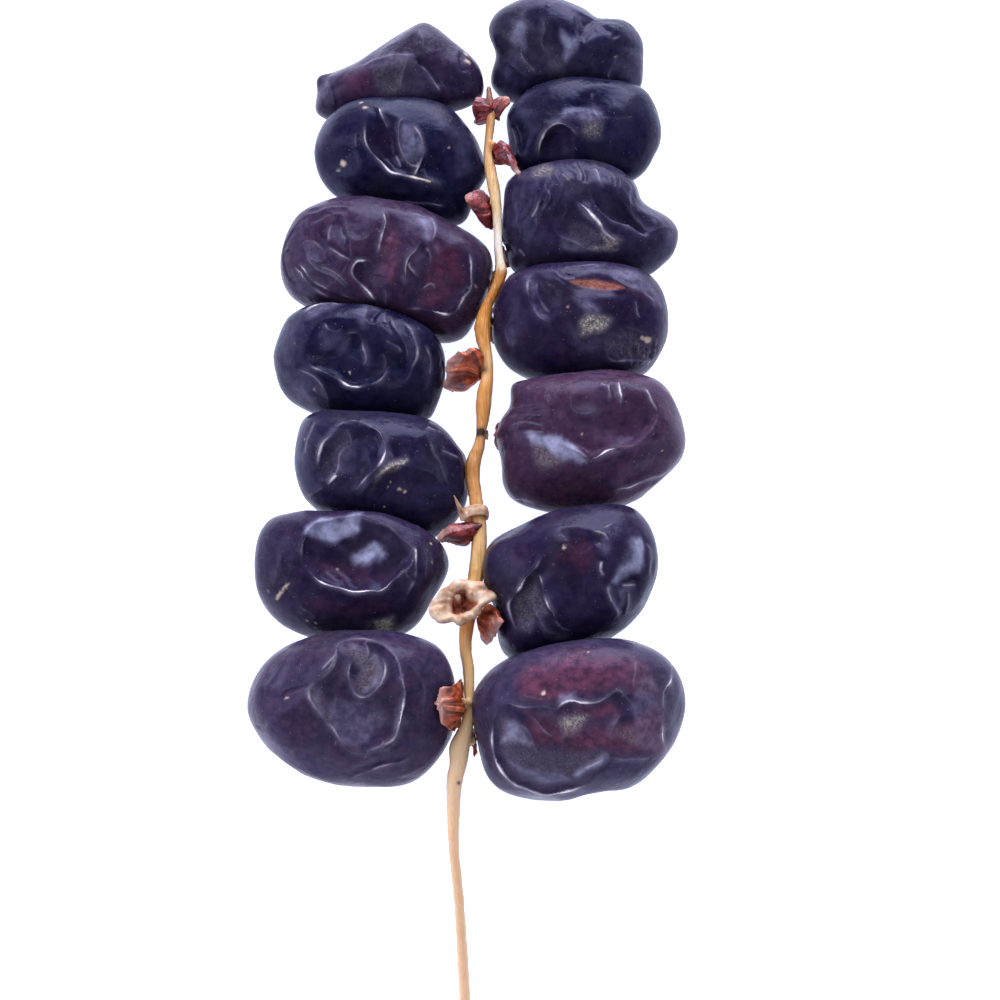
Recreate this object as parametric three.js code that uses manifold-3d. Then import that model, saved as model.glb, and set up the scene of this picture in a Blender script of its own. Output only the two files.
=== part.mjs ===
// A picked strand of dark, sun-wrinkled dates: fourteen fruits sit in two rows on one thin woody stem,
// each held by its own leathery flower cap. The strand lies on a flat surface, stem end towards -Y,
// with +X to the right and +Z up. All sizes are in millimetres.
import * as THREE from 'three';
import { mergeVertices } from 'three/addons/utils/BufferGeometryUtils.js';
import Module from 'manifold-3d';

const wasm = await Module();
wasm.setup();

// The view from which places were measured: a square picture, 1000 pixels wide, taken from
// above and a little from the stem end. A place in it is written [across, down], in pixels.
const PICTURE_MIDDLE = 500;
const MM_PER_PIXEL = 0.175; // at the middle of the picture
const CAMERA_DISTANCE = 380;
const CAMERA_ELEVATION = THREE.MathUtils.degToRad(68);
const AIM_HEIGHT = 11; // the picture's middle is a point this high above the surface

// Sizes shared by the pieces
const CLEARANCE = 0.35; // between neighbouring pieces
const SLIVER = 0.02; // details smaller than this are merged away
const FRUIT_DETAIL = 5; // subdivisions of the icosahedron that each fruit is shaped from
const FRUIT_HEIGHT = 9.5; // a first value for the height of a fruit's middle
const CONTACT_ROUNDING = 1.6; // how gently a fruit turns into the side that presses on another
const SETTLE = 0.7; // how far a fruit's round underside is flattened where it rests
const CAP_THICKNESS = 0.8;
const LOBE_SHARE = 0.16; // how far a cap's three lobes stand out from its rim
const STALK_RADIUS = 0.85; // of the short stalk between the stem and a cap
const STEM_SIDES = 8;
const STEM_STEPS = 60;
const STALK_SIDES = 6;
const CAP_SIDES = 12;
const CAP_RINGS = 8; // half of them for the outer face, the others for the inner one

// Each fruit: the place of its middle, half its thickness along the line of sight, how square its
// cross-section is, its outline as places round it, and its dents. Where another fruit hides the
// outline it is carried on by eye. A dent has its place, its radii along and across, its turn in
// degrees, and its depth.
const FRUITS = {
  date_left_1: {
    at: [402, 76], thick: 9.2, square: 2.3,
    outline: [[320, 80], [350, 66], [390, 41], [424, 23.5], [457, 43.5], [484, 73], [474, 98], [452, 113],
      [410, 120], [365, 122], [324, 118]],
    dents: [[395, 84, 7, 3.2, 5, 1.5], [438, 76, 4, 2.6, -50, 1.4]],
  },
  date_left_2: {
    at: [400, 158], thick: 9.4, square: 2.3,
    outline: [[324, 119], [350, 100], [400, 95], [440, 101], [461, 116], [475, 139], [484, 163], [478, 195],
      [466, 226], [445, 226], [400, 212], [360, 206], [333, 196], [318, 177], [312, 150]],
    dents: [[384, 142, 3.6, 5.4, 15, 1.7], [430, 168, 5, 2.6, -20, 1], [345, 162, 3.4, 3.4, 0, 0.8],
      [452, 150, 2.4, 3.4, 30, 0.7]],
  },
  date_left_3: {
    at: [388, 268], thick: 10.6, square: 2.3,
    outline: [[298, 304], [284, 289], [278, 262], [286, 232], [302, 209], [334, 198], [395, 199],
      [432, 212], [470, 234], [487, 243], [493.5, 268], [486, 300], [472, 330], [452, 345], [400, 338], [345, 325]],
    dents: [[318, 262, 7, 4, -25, 1], [366, 275, 5, 3.4, 40, 1.2], [440, 274, 5.4, 6, 0, 1.2],
      [392, 232, 2.2, 4.6, 0, 0.9]],
  },
  date_left_4: {
    at: [360, 362], thick: 9.8, square: 2.3,
    outline: [[299, 306], [281, 326], [272.5, 354], [277, 382], [293, 403], [330, 421], [380, 426],
      [431, 419], [443, 396], [447, 362], [438, 331], [405, 309], [345, 299]],
    dents: [[360, 356, 8.4, 5.2, -12, 1.8], [297, 390, 3.6, 3.2, 0, 0.9], [430, 365, 2, 5, 10, 0.7]],
  },
  date_left_5: {
    at: [382, 472], thick: 10, square: 2.3,
    outline: [[303, 415], [296, 444], [293.5, 464], [302, 494], [320, 514], [370, 530], [410, 540],
      [438, 538], [462, 516], [469, 490], [466, 458], [444, 429], [430, 419], [390, 412], [340, 409]],
    dents: [[348, 458, 6.2, 4.6, 62, 2.1], [392, 456, 4, 2.4, 20, 1], [440, 470, 2, 6.4, 20, 0.8]],
  },
  date_left_6: {
    at: [352, 573], thick: 10, square: 2.5,
    outline: [[318, 511], [270, 517.5], [257, 536], [253.5, 566], [260, 602], [291, 630], [350, 642],
      [413, 629], [432, 603], [449.5, 567], [440, 538], [400, 517], [360, 510]],
    dents: [[358, 552, 9.6, 6.4, -4, 2.3], [430, 590, 3, 4, 20, 0.8]],
  },
  date_left_7: {
    at: [351, 709], thick: 12, square: 2.3,
    outline: [[300, 640], [265, 662], [247, 698], [253, 727], [280, 760], [318, 781], [360, 787],
      [420, 777], [452, 734], [456, 700], [452, 667], [434, 644], [395, 633], [340, 632]],
    dents: [[362, 698, 7, 8.8, -20, 2], [426, 696, 2.6, 6.5, 8, 0.8], [290, 680, 6.5, 4, 30, 0.7]],
  },
  date_right_1: {
    at: [566, 48], thick: 9, square: 2.3,
    outline: [[500, 8], [485.5, 31], [497, 57], [489, 80], [500, 98], [540, 107], [600, 104], [640, 95],
      [645.5, 66], [642, 38], [621, 17], [603, 22], [582, 7], [543, -5]],
    dents: [[555, 50, 4.6, 5, 0, 1.5], [606, 62, 4, 4.4, 0, 1.2], [588, 30, 3, 3.4, -30, 0.9]],
  },
  date_right_2: {
    at: [583, 131], thick: 9.4, square: 2.3,
    outline: [[520, 95], [505, 118], [510, 145], [520, 168], [550, 180], [600, 186], [635, 183], [655, 160],
      [662.5, 130], [656, 105], [644, 88], [610, 78], [560, 76]],
    dents: [[556, 148, 4, 3.8, 20, 2], [600, 100, 5.5, 3.2, 30, 1.1], [520, 140, 2, 5, 12, 0.7]],
  },
  date_right_3: {
    at: [588, 222], thick: 9.6, square: 2.3,
    outline: [[503, 204], [501.5, 238], [511, 272], [550, 284], [610, 286], [653, 275], [675, 255],
      [682, 232], [667, 217], [643, 204], [636, 184], [617, 166], [575, 157], [530, 168], [508, 184]],
    dents: [[574, 226, 6.2, 3.8, -30, 1.6], [622, 212, 7, 2.2, -38, 1.5], [524, 200, 3.4, 4.4, 0, 0.9]],
  },
  date_right_4: {
    at: [581, 322], thick: 9.8, square: 2.4,
    outline: [[502, 282], [492, 310], [493, 346], [508, 368], [530, 380], [580, 386], [625, 382],
      [650, 370], [664, 350], [669.5, 322], [665, 296], [653, 276], [620, 263], [570, 260], [528, 267]],
    dents: [[600, 287, 6.2, 1.9, -4, 1.7], [546, 300, 4.4, 3, -40, 1], [632, 345, 4, 2.8, 0, 0.6]],
  },
  date_right_5: {
    at: [592, 442], thick: 11, square: 2.3,
    outline: [[514, 385], [512, 403], [496, 429], [501.5, 460], [503.5, 490], [525, 505], [570, 516],
      [610, 512], [641, 496], [670, 473], [687, 446], [680, 411], [664, 383], [625, 371], [570, 373]],
    dents: [[610, 418, 8.6, 5.4, 0, 1.7], [545, 432, 4.6, 2.8, -30, 1.2], [640, 472, 6.5, 2.8, 18, 0.9]],
  },
  date_right_6: {
    at: [572, 584], thick: 11.6, square: 2.3,
    outline: [[488, 546], [482, 578], [495, 605], [500, 640], [508, 662], [560, 658], [620, 632],
      [645, 603], [658.5, 565], [654, 533], [634, 507], [590, 505], [545, 513], [512, 531]],
    dents: [[580, 578, 5.4, 6.8, 0, 1.6], [533, 606, 3, 6.6, -28, 1.6], [626, 578, 2.8, 6, 10, 1.4]],
  },
  date_right_7: {
    at: [580, 719], thick: 12.4, square: 2.4,
    outline: [[507, 660], [478, 684], [470.5, 712], [480.5, 748], [490, 783], [540, 799.5], [600, 794],
      [643, 779], [670, 748], [688, 705], [676, 669], [645, 645], [600, 638], [550, 644]],
    dents: [[562, 742, 8.4, 5.4, 0, 1.8], [676, 708, 2.2, 6.6, 0, 0.9], [516, 742, 4, 4.6, 0, 1.1]],
  },
};

// Each cap: the middle of its rim and the end of its neck, as places across and down and heights
// above the surface, the radius of its rim, and how far down the stem it is held.
const CAPS = {
  cap_left_1: { rim: [467, 109, 10.4], neck: [485, 113, 11.4], radius: 2.7, heldAt: 115 },
  cap_left_2: { rim: [479, 209, 10.6], neck: [490, 202, 12], radius: 4.2, heldAt: 202 },
  cap_left_3: { rim: [483, 284, 5.2], neck: [492, 287, 5.6], radius: 3.3, heldAt: 284 },
  cap_left_4: { rim: [461, 364, 11.6], neck: [481, 376, 12.4], radius: 4.8, heldAt: 376 },
  cap_left_5: { rim: [458, 476, 6.4], neck: [468, 474, 8], radius: 3.2, heldAt: 470 },
  cap_left_6: { rim: [440, 538, 12], neck: [475, 534, 12.8], radius: 2.8, heldAt: 535 },
  cap_left_7: { rim: [437, 709, 16.2], neck: [460, 702, 16.8], radius: 4.2, heldAt: 704 },
  cap_right_1: { rim: [511, 106, 10.4], neck: [495, 113, 11.4], radius: 2.7, heldAt: 115 },
  cap_right_2: { rim: [510, 161, 10.6], neck: [495, 146, 12.2], radius: 3.8, heldAt: 143 },
  cap_right_3: { rim: [509, 246, 5.2], neck: [501, 249, 5.6], radius: 3.3, heldAt: 250 },
  cap_right_4: { rim: [501, 322, 6], neck: [492, 323, 7], radius: 3.4, heldAt: 318 },
  cap_right_5: { rim: [507, 437, 5.6], neck: [498, 436, 6.6], radius: 3.4, heldAt: 434 },
  cap_right_6: { rim: [501, 625, 12.6], neck: [480, 612, 13.8], radius: 4, heldAt: 608 },
  cap_right_7: { rim: [490, 743, 10.2], neck: [475.5, 741, 12], radius: 3.1, heldAt: 741 },
};

// The stem's line from its cut end to its tip: places across and down the picture, the height of
// its middle above the surface, and its radius there.
const STEM = [
  [470, 1064, 1.6, 1.45], [468, 1046, 1.8, 1.15], [465, 1000, 2.8, 0.98], [463, 960, 4.2, 0.98],
  [461, 930, 5.6, 0.93], [459, 900, 7, 0.93], [456, 870, 8.6, 0.93], [453.5, 845, 9.8, 0.93],
  [453.5, 820, 10.8, 1.1], [456, 795, 11.6, 1.3], [458, 775, 12.2, 1.45], [463, 748, 12.8, 1.6],
  [466.5, 732, 13, 1.35], [468.5, 712, 13, 0.85], [469, 690, 13, 0.98], [468.5, 668, 13, 1.05],
  [465.5, 650, 12.8, 1.1], [465.5, 635, 12.6, 1.25], [468.5, 618, 12.4, 1.35], [472, 600, 12.3, 1.3],
  [475.5, 578, 12.2, 1.4], [478.5, 555, 12.2, 1.45], [479.5, 532, 12.2, 1.4], [477.5, 512, 12.2, 1.35],
  [475.5, 495, 12.2, 1.2], [472.5, 480, 12.2, 1.35], [472.5, 464, 12.2, 1.55], [477.5, 451, 12.2, 1.15],
  [481, 440, 12.2, 1.05], [482.5, 424, 12.2, 1.15], [483.5, 405, 12.2, 1.45], [485, 390, 12.3, 1.45],
  [488, 373, 12.4, 1.05], [487, 356, 12.4, 1.05], [483.5, 342, 12.4, 1.35], [482, 328, 12.4, 1.55],
  [484.5, 313, 12.4, 1.25], [489.5, 300, 12.4, 1], [496, 288, 12.4, 1], [501, 274, 12.4, 1.35],
  [500, 262, 12.3, 0.95], [498, 245, 12.2, 0.85], [497.5, 222, 12.1, 0.88], [496, 202, 12.1, 1.1],
  [493, 184, 12, 1.25], [490, 168, 11.8, 1.15], [487.5, 152, 11.6, 0.82], [489, 136, 11.4, 0.8],
  [491, 120, 11.4, 1], [490, 104, 11.2, 0.85], [488.5, 87, 11, 0.5],
];

// The dark growth ring, the dry collar with its awn, and the empty cap
const GROWTH_RING = { down: 430, reach: 0.9, proud: 0.18 };
const COLLAR = { at: [475.5, 514], radius: 2.25, height: 2.1, wall: 0.65, bulge: 0.2 };
const AWN = { root: [464.5, 519, 13.6], tip: [452, 491, 17.4], radius: 0.85 };
const EMPTY_CAP = {
  at: [461, 601],
  height: 17.4,
  length: 5.5, // half of it, across the stem
  width: 4.1, // half of it, along the stem
  turn: 12,
  lean: [-12, -6],
  depth: 2.4,
  wall: 0.9,
};

// The picture's frame: its camera, and the scale of what it sees
const SIGHT = new THREE.Vector3(0, Math.cos(CAMERA_ELEVATION), -Math.sin(CAMERA_ELEVATION));
const ACROSS = new THREE.Vector3(1, 0, 0);
const PICTURE_UP = new THREE.Vector3().crossVectors(ACROSS, SIGHT);
const CAMERA = new THREE.Vector3(0, 0, AIM_HEIGHT).addScaledVector(SIGHT, -CAMERA_DISTANCE);
const FOCAL_PIXELS = CAMERA_DISTANCE / MM_PER_PIXEL;
const UPRIGHT = new THREE.Vector3(0, 1, 0); // the axis of three.js cylinders, cones and lathed shapes
const SKYWARD = new THREE.Vector3(0, 0, 1);
const ORIGIN = new THREE.Vector3();

// The point at a given height that the picture shows at a place.
function pointAt([across, down], height) {
  const ray = SIGHT.clone()
    .addScaledVector(ACROSS, (across - PICTURE_MIDDLE) / FOCAL_PIXELS)
    .addScaledVector(PICTURE_UP, (PICTURE_MIDDLE - down) / FOCAL_PIXELS);
  return CAMERA.clone().addScaledVector(ray, (height - CAMERA.z) / ray.z);
}

// Where the picture shows a point: [across, down].
function placeOf(point) {
  const seen = point.clone().sub(CAMERA);
  const scale = FOCAL_PIXELS / seen.dot(SIGHT);
  return [PICTURE_MIDDLE + seen.dot(ACROSS) * scale, PICTURE_MIDDLE - seen.dot(PICTURE_UP) * scale];
}

// The same sequence of random numbers on every run (a linear congruential generator).
function randomSource(seed) {
  let state = seed;
  return () => {
    state = (state * 1664525 + 1013904223) % 4294967296;
    return state / 4294967296;
  };
}

function smoothStep(from, to, value) {
  return THREE.MathUtils.smoothstep(value, from, to);
}

// The smaller of two lengths, rounded over where they cross.
function softMin(a, b, rounding) {
  const overlap = Math.max(rounding - Math.abs(a - b), 0) / rounding;
  return Math.min(a, b) - overlap * overlap * rounding / 4;
}

// A fruit's outline, as the distance from its middle at each angle in the picture's plane.
const OUTLINE_STEPS = 180;

function outlineOf(data, middle) {
  const scale = middle.clone().sub(CAMERA).dot(SIGHT) / FOCAL_PIXELS;
  const [across, down] = data.at;
  const corners = data.outline.map(([x, y]) => (
    new THREE.Vector3(x - across, down - y, 0).multiplyScalar(scale)
  ));
  const curve = new THREE.CatmullRomCurve3(corners, true, 'centripetal');
  const reaches = new Array(OUTLINE_STEPS).fill(0);
  for (const point of curve.getPoints(OUTLINE_STEPS * 12)) {
    const angle = Math.atan2(point.y, point.x) / (Math.PI * 2) + 1;
    const step = Math.round(angle * OUTLINE_STEPS) % OUTLINE_STEPS;
    reaches[step] = Math.max(reaches[step], point.length());
  }
  return reaches;
}

// A fruit ready to be shaped. Its own depth axis is the line of sight to it, so that its widest
// section is the traced outline.
function plannedFruit(name, data, index) {
  const row = name.split('_')[1];
  const fruit = { name, row, data, index, neighbours: [], dents: [] };
  fruit.middle = pointAt(data.at, FRUIT_HEIGHT);
  fruit.outline = outlineOf(data, fruit.middle);
  fruit.sight = fruit.middle.clone().sub(CAMERA).normalize();
  const ball = new THREE.IcosahedronGeometry(1, 8).attributes.position;
  let lowest = 0;
  for (let i = 0; i < ball.count; i++) {
    const direction = new THREE.Vector3().fromBufferAttribute(ball, i);
    lowest = Math.min(lowest, direction.z * plainReach(fruit, direction));
  }
  fruit.middle = pointAt(data.at, -lowest - SETTLE);
  return fruit;
}

// A direction as parts across and up the picture, and along the fruit's own line of sight.
function partsInView(fruit, direction) {
  const away = direction.dot(SIGHT) / fruit.sight.dot(SIGHT);
  return [
    direction.dot(ACROSS) - away * fruit.sight.dot(ACROSS),
    direction.dot(PICTURE_UP) - away * fruit.sight.dot(PICTURE_UP),
    away,
  ];
}

// The distance from a fruit's middle to its plain rounded body, before contacts and dents.
function plainReach(fruit, direction) {
  const [across, up, away] = partsInView(fruit, direction);
  const place = (Math.atan2(up, across) / (Math.PI * 2) + 1) * OUTLINE_STEPS;
  const before = Math.floor(place);
  const radius = THREE.MathUtils.lerp(
    fruit.outline[before % OUTLINE_STEPS], fruit.outline[(before + 1) % OUTLINE_STEPS], place - before,
  );
  const power = fruit.data.square;
  const flat = Math.hypot(across, up) / radius;
  const deep = Math.abs(away) / fruit.data.thick;
  return (flat ** power + deep ** power) ** (-1 / power);
}

// The shrivelled skin's slow unevenness, different on each fruit.
function unevenness(fruit, direction) {
  const UNEVENNESS = 0.14;
  const { x, y, z } = direction;
  const phase = fruit.index * 1.7;
  const waves = Math.sin(5.1 * x + 3.3 * z + phase) + Math.sin(6.7 * y - 2.9 * x + 2 * phase)
    + Math.sin(7.9 * z + 4.1 * y + 3 * phase);
  return waves * UNEVENNESS * Math.abs(direction.dot(fruit.sight));
}

function freeReach(fruit, direction) {
  return plainReach(fruit, direction) + unevenness(fruit, direction);
}

// How far a point lies outside a fruit's free shape; less than nothing inside it.
function outsideOf(fruit, point) {
  const step = point.clone().sub(fruit.middle);
  const distance = step.length();
  return distance - freeReach(fruit, step.normalize());
}

// How far a fruit can reach in a direction before it presses on a neighbour. Two fruits meet
// where a point is as deep inside one as inside the other.
function contactReach(fruit, neighbour, direction, reach) {
  const free = freeReach(fruit, direction);
  const room = (length) => {
    const point = fruit.middle.clone().addScaledVector(direction, length);
    return outsideOf(neighbour, point) - CLEARANCE - (length - free);
  };
  let near = 0;
  let far = reach + CONTACT_ROUNDING;
  if (room(far) > 0) return Infinity;
  for (let i = 0; i < 14; i++) {
    const middle = (near + far) / 2;
    if (room(middle) > 0) near = middle;
    else far = middle;
  }
  return near;
}

// A dent: its middle on the skin, the skin's outward direction there, and its two axes.
function addDent(fruit, towards, along, across, turn, depth) {
  const normal = towards.clone().normalize();
  const centre = normal.clone().multiplyScalar(plainReach(fruit, normal));
  const level = ACROSS.clone().addScaledVector(normal, -ACROSS.dot(normal)).normalize();
  const axis = level.applyAxisAngle(normal, THREE.MathUtils.degToRad(turn));
  const cross = new THREE.Vector3().crossVectors(normal, axis);
  fruit.dents.push({ centre, normal, axis, cross, along, across, depth });
}

// The dents that the picture shows, and a few on the hidden sides, drawn at random from a fixed seed.
function addDents(fruit) {
  const scale = fruit.middle.clone().sub(CAMERA).dot(SIGHT) / FOCAL_PIXELS;
  const [middleAcross, middleDown] = fruit.data.at;
  for (const [x, y, along, across, turn, depth] of fruit.data.dents) {
    const step = new THREE.Vector3()
      .addScaledVector(ACROSS, (x - middleAcross) * scale)
      .addScaledVector(PICTURE_UP, (middleDown - y) * scale);
    const share = step.length() / plainReach(fruit, step.clone().normalize());
    const rise = fruit.data.thick * Math.sqrt(Math.max(1 - share * share, 0));
    addDent(fruit, step.addScaledVector(fruit.sight, -rise), along, across, turn, depth);
  }
  const HIDDEN_DENTS = 6;
  const random = randomSource(7 + fruit.index * 13);
  for (let i = 0; i < HIDDEN_DENTS; i++) {
    const angle = (i + 0.3 + random() * 0.5) / HIDDEN_DENTS * Math.PI * 2;
    const slope = -0.35 - random() * 0.5;
    const direction = new THREE.Vector3(Math.cos(angle) * 1.3, Math.sin(angle), slope);
    const [along, across] = [3.5 + random() * 2.5, 2.4 + random() * 1.8];
    addDent(fruit, direction, along, across, random() * 180, 0.8 + random() * 0.8);
  }
}

// How far a dent pushes the skin in at a point: a bowl with a low rim around it.
function dentDepth(dent, point) {
  const RIM_PLACE = 1.12;
  const RIM_WIDTH = 0.22;
  const RIM_SHARE = 0.22;
  const step = point.clone().sub(dent.centre);
  const away = Math.hypot(step.dot(dent.axis) / dent.along, step.dot(dent.cross) / dent.across,
    step.dot(dent.normal) / (dent.along + dent.across));
  const bowl = 1 - smoothStep(0.35, 1, away);
  const rim = Math.exp(-(((away - RIM_PLACE) / RIM_WIDTH) ** 2)) * RIM_SHARE;
  return dent.depth * (bowl - rim);
}

// The distance from a fruit's middle to its skin in a direction.
function reachOf(fruit, direction) {
  const point = direction.clone().multiplyScalar(plainReach(fruit, direction));
  let reach = freeReach(fruit, direction);
  for (const dent of fruit.dents) reach -= dentDepth(dent, point);
  for (const neighbour of fruit.neighbours) {
    reach = softMin(reach, contactReach(fruit, neighbour, direction, reach), CONTACT_ROUNDING);
  }
  return reach;
}

// A closed mesh with shared corners, which a solid needs.
function welded(geometry) {
  geometry.deleteAttribute('normal');
  geometry.deleteAttribute('uv');
  return mergeVertices(geometry, 1e-4);
}

// Moves each corner of a geometry to where a function puts it.
function reshaped(geometry, place) {
  const corners = geometry.attributes.position;
  const corner = new THREE.Vector3();
  for (let i = 0; i < corners.count; i++) {
    corner.fromBufferAttribute(corners, i);
    const moved = place(corner);
    corners.setXYZ(i, moved.x, moved.y, moved.z);
  }
  return geometry;
}

// A fruit's skin about its own middle; grown makes it larger all over.
function fruitGeometry(fruit, grown = 0) {
  const ball = welded(new THREE.IcosahedronGeometry(1, FRUIT_DETAIL));
  return reshaped(ball, (corner) => {
    const direction = corner.clone().normalize();
    const point = direction.clone().multiplyScalar(reachOf(fruit, direction) + grown);
    point.z = Math.max(point.z, -fruit.middle.z);
    return point;
  });
}

// A solid in the strand's space, for cutting and joining.
function solidOf(geometry, offset) {
  const placed = geometry.clone().translate(offset.x, offset.y, offset.z);
  return new wasm.Manifold(new wasm.Mesh({
    numProp: 3,
    vertProperties: new Float32Array(placed.attributes.position.array),
    triVerts: new Uint32Array(placed.index.array),
  }));
}

// A solid's largest body, without its slivers, as a geometry about a given middle.
function geometryOf(solid, middle) {
  const bodies = solid.simplify(SLIVER).decompose().sort((a, b) => b.volume() - a.volume());
  const mesh = bodies[0].getMesh();
  const corners = [];
  for (let i = 0; i < mesh.numVert; i++) {
    const at = i * mesh.numProp;
    corners.push(mesh.vertProperties[at], mesh.vertProperties[at + 1], mesh.vertProperties[at + 2]);
  }
  const geometry = new THREE.BufferGeometry();
  geometry.setAttribute('position', new THREE.Float32BufferAttribute(corners, 3));
  geometry.setIndex([...mesh.triVerts]);
  return geometry.translate(-middle.x, -middle.y, -middle.z);
}

// The stem's line, and its radius as a function of the share of the way along it.
const stemPoints = STEM.map(([x, y, height]) => pointAt([x, y], height));
const stemCurve = new THREE.CatmullRomCurve3(stemPoints, false, 'centripetal');

function stemRadius(share) {
  const place = share * (STEM.length - 1);
  const before = Math.min(Math.floor(place), STEM.length - 2);
  return THREE.MathUtils.lerp(STEM[before][3], STEM[before + 1][3], place - before);
}

// The share of the way along the stem where the picture shows it a given distance down.
function stemShareAt(down) {
  let low = 0;
  let high = 1;
  for (let i = 0; i < 30; i++) {
    const middle = (low + high) / 2;
    if (placeOf(stemCurve.getPoint(middle))[1] > down) low = middle;
    else high = middle;
  }
  return (low + high) / 2;
}

// A cylinder bent along the stem's line, with its own radius at each step.
function stemGeometry(grown = 0) {
  const rod = welded(new THREE.CylinderGeometry(1, 1, 1, STEM_SIDES, STEM_STEPS));
  const ring = stemCurve.getPoint(stemShareAt(GROWTH_RING.down));
  return reshaped(rod, (corner) => {
    const share = corner.y + 0.5;
    const centre = stemCurve.getPoint(share);
    const forward = stemCurve.getTangent(share);
    const sideways = new THREE.Vector3().crossVectors(forward, SKYWARD).normalize();
    const upward = new THREE.Vector3().crossVectors(sideways, forward);
    const proud = centre.distanceTo(ring) < GROWTH_RING.reach ? GROWTH_RING.proud : 0;
    const radius = stemRadius(share) + proud + grown;
    return centre
      .addScaledVector(sideways, corner.x * radius)
      .addScaledVector(upward, corner.z * radius);
  });
}

// A cap's rim, neck and place on the stem as points.
function capPlan({ rim, neck, heldAt }) {
  const share = stemShareAt(heldAt);
  return {
    rimMiddle: pointAt(rim, rim[2]),
    neckEnd: pointAt(neck, neck[2]),
    onStem: stemCurve.getPoint(share),
    stemRadiusThere: stemRadius(share),
  };
}

// A short stalk from inside the stem to the end of a cap's neck.
function stalkSolid(cap, grown) {
  const { neckEnd, onStem, stemRadiusThere } = capPlan(cap);
  const reach = neckEnd.clone().sub(onStem);
  const length = reach.length() + grown;
  const rootRadius = Math.min(stemRadiusThere * 0.95, STALK_RADIUS * 1.4) + grown;
  const stalk = welded(new THREE.CylinderGeometry(STALK_RADIUS + grown, rootRadius, length, STALK_SIDES));
  stalk.applyQuaternion(new THREE.Quaternion().setFromUnitVectors(UPRIGHT, reach.normalize()));
  return solidOf(stalk, onStem.clone().addScaledVector(reach, length / 2));
}

// The stem with its stalks, joined in one solid.
function stemSolid(grown = 0) {
  const rod = solidOf(stemGeometry(grown), ORIGIN);
  return Object.values(CAPS).reduce((stem, cap) => stem.add(stalkSolid(cap, grown)), rod);
}

// A three-lobed dome from the end of the neck to the rim, draped over its fruit where it would
// sink in. A ball's first rings become the outer face and its last ones the face inside.
function capGeometry(cap, fruit) {
  const OUTER_RINGS = CAP_RINGS / 2;
  const { rimMiddle, neckEnd } = capPlan(cap);
  const axis = rimMiddle.clone().sub(neckEnd);
  const length = axis.length();
  axis.normalize();
  const right = new THREE.Vector3().crossVectors(SKYWARD, axis).normalize();
  const up = new THREE.Vector3().crossVectors(axis, right);
  const ball = welded(new THREE.SphereGeometry(1, CAP_SIDES, CAP_RINGS));
  return reshaped(ball, (corner) => {
    const ring = Math.round(Math.acos(THREE.MathUtils.clamp(corner.y, -1, 1)) / Math.PI * CAP_RINGS);
    const outer = ring <= OUTER_RINGS;
    const share = outer ? ring / OUTER_RINGS : (CAP_RINGS - ring) / (OUTER_RINGS - 1);
    const wall = outer ? 0 : CAP_THICKNESS;
    const round = Math.atan2(corner.z, corner.x);
    const lobes = 1 + LOBE_SHARE * Math.cos(3 * (round - Math.PI / 2)) * share ** 2;
    const slope = share * Math.PI / 2;
    const spread = Math.sin(slope) * (cap.radius * lobes - wall);
    const rise = wall + (length - wall) * (1 - Math.cos(slope));
    const step = neckEnd.clone().sub(fruit.middle)
      .addScaledVector(axis, rise)
      .addScaledVector(right, Math.cos(round) * spread)
      .addScaledVector(up, Math.sin(round) * spread);
    const distance = step.length();
    step.normalize();
    const least = reachOf(fruit, step) + CLEARANCE + CAP_THICKNESS - wall;
    return step.multiplyScalar(Math.max(distance, least)).add(fruit.middle).sub(neckEnd);
  });
}

// A shallow dry cup, left where a fruit has dropped, facing the sky.
function emptyCapGeometry() {
  const { length, width, turn, depth, wall, lean } = EMPTY_CAP;
  const ball = welded(new THREE.SphereGeometry(1, 18, 12));
  const tilt = new THREE.Euler(...lean.map(THREE.MathUtils.degToRad), 0);
  return reshaped(ball, (corner) => {
    const fromTop = Math.acos(THREE.MathUtils.clamp(-corner.y, -1, 1)) / (Math.PI / 2);
    const outer = fromTop <= 1 + 1e-6;
    const share = outer ? Math.min(fromTop, 1) : 2 - fromTop;
    const round = Math.atan2(corner.z, corner.x);
    const wavy = 1 + 0.06 * Math.cos(3 * round) + 0.04 * Math.sin(5 * round);
    const spread = (outer ? share : share * 0.93) * wavy;
    const bowl = depth * (share ** 2 - 1);
    const floor = outer ? 0 : wall * (1 + 0.5 * (1 - share));
    const wave = 0.35 * Math.sin(3 * round + 0.8) * share ** 2;
    const [across, along] = [Math.cos(round) * spread * length, -Math.sin(round) * spread * width];
    return new THREE.Vector3(across, along, bowl + floor + wave)
      .applyAxisAngle(SKYWARD, THREE.MathUtils.degToRad(turn))
      .applyEuler(tilt);
  });
}

// The dry collar: a short papery sleeve round the stem with one pale awn standing beside it.
function collarSolid() {
  const { at, radius, height, wall, bulge } = COLLAR;
  const share = stemShareAt(at[1]);
  const centre = pointAt(at, stemCurve.getPoint(share).z);
  const profile = [
    [radius - wall, -height / 2], [radius, -height / 2], [radius + bulge, 0], [radius, height / 2],
    [radius - wall, height / 2], [radius - wall, -height / 2],
  ].map(([x, y]) => new THREE.Vector2(x, y));
  const sleeve = welded(new THREE.LatheGeometry(profile, 16));
  sleeve.applyQuaternion(new THREE.Quaternion().setFromUnitVectors(UPRIGHT, stemCurve.getTangent(share)));
  const root = pointAt(AWN.root, AWN.root[2]);
  const reach = pointAt(AWN.tip, AWN.tip[2]).sub(root);
  const length = reach.length();
  const awn = welded(new THREE.ConeGeometry(AWN.radius, length, 7));
  awn.applyQuaternion(new THREE.Quaternion().setFromUnitVectors(UPRIGHT, reach.normalize()));
  return solidOf(sleeve, centre).add(solidOf(awn, root.addScaledVector(reach, length / 2)));
}

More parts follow.
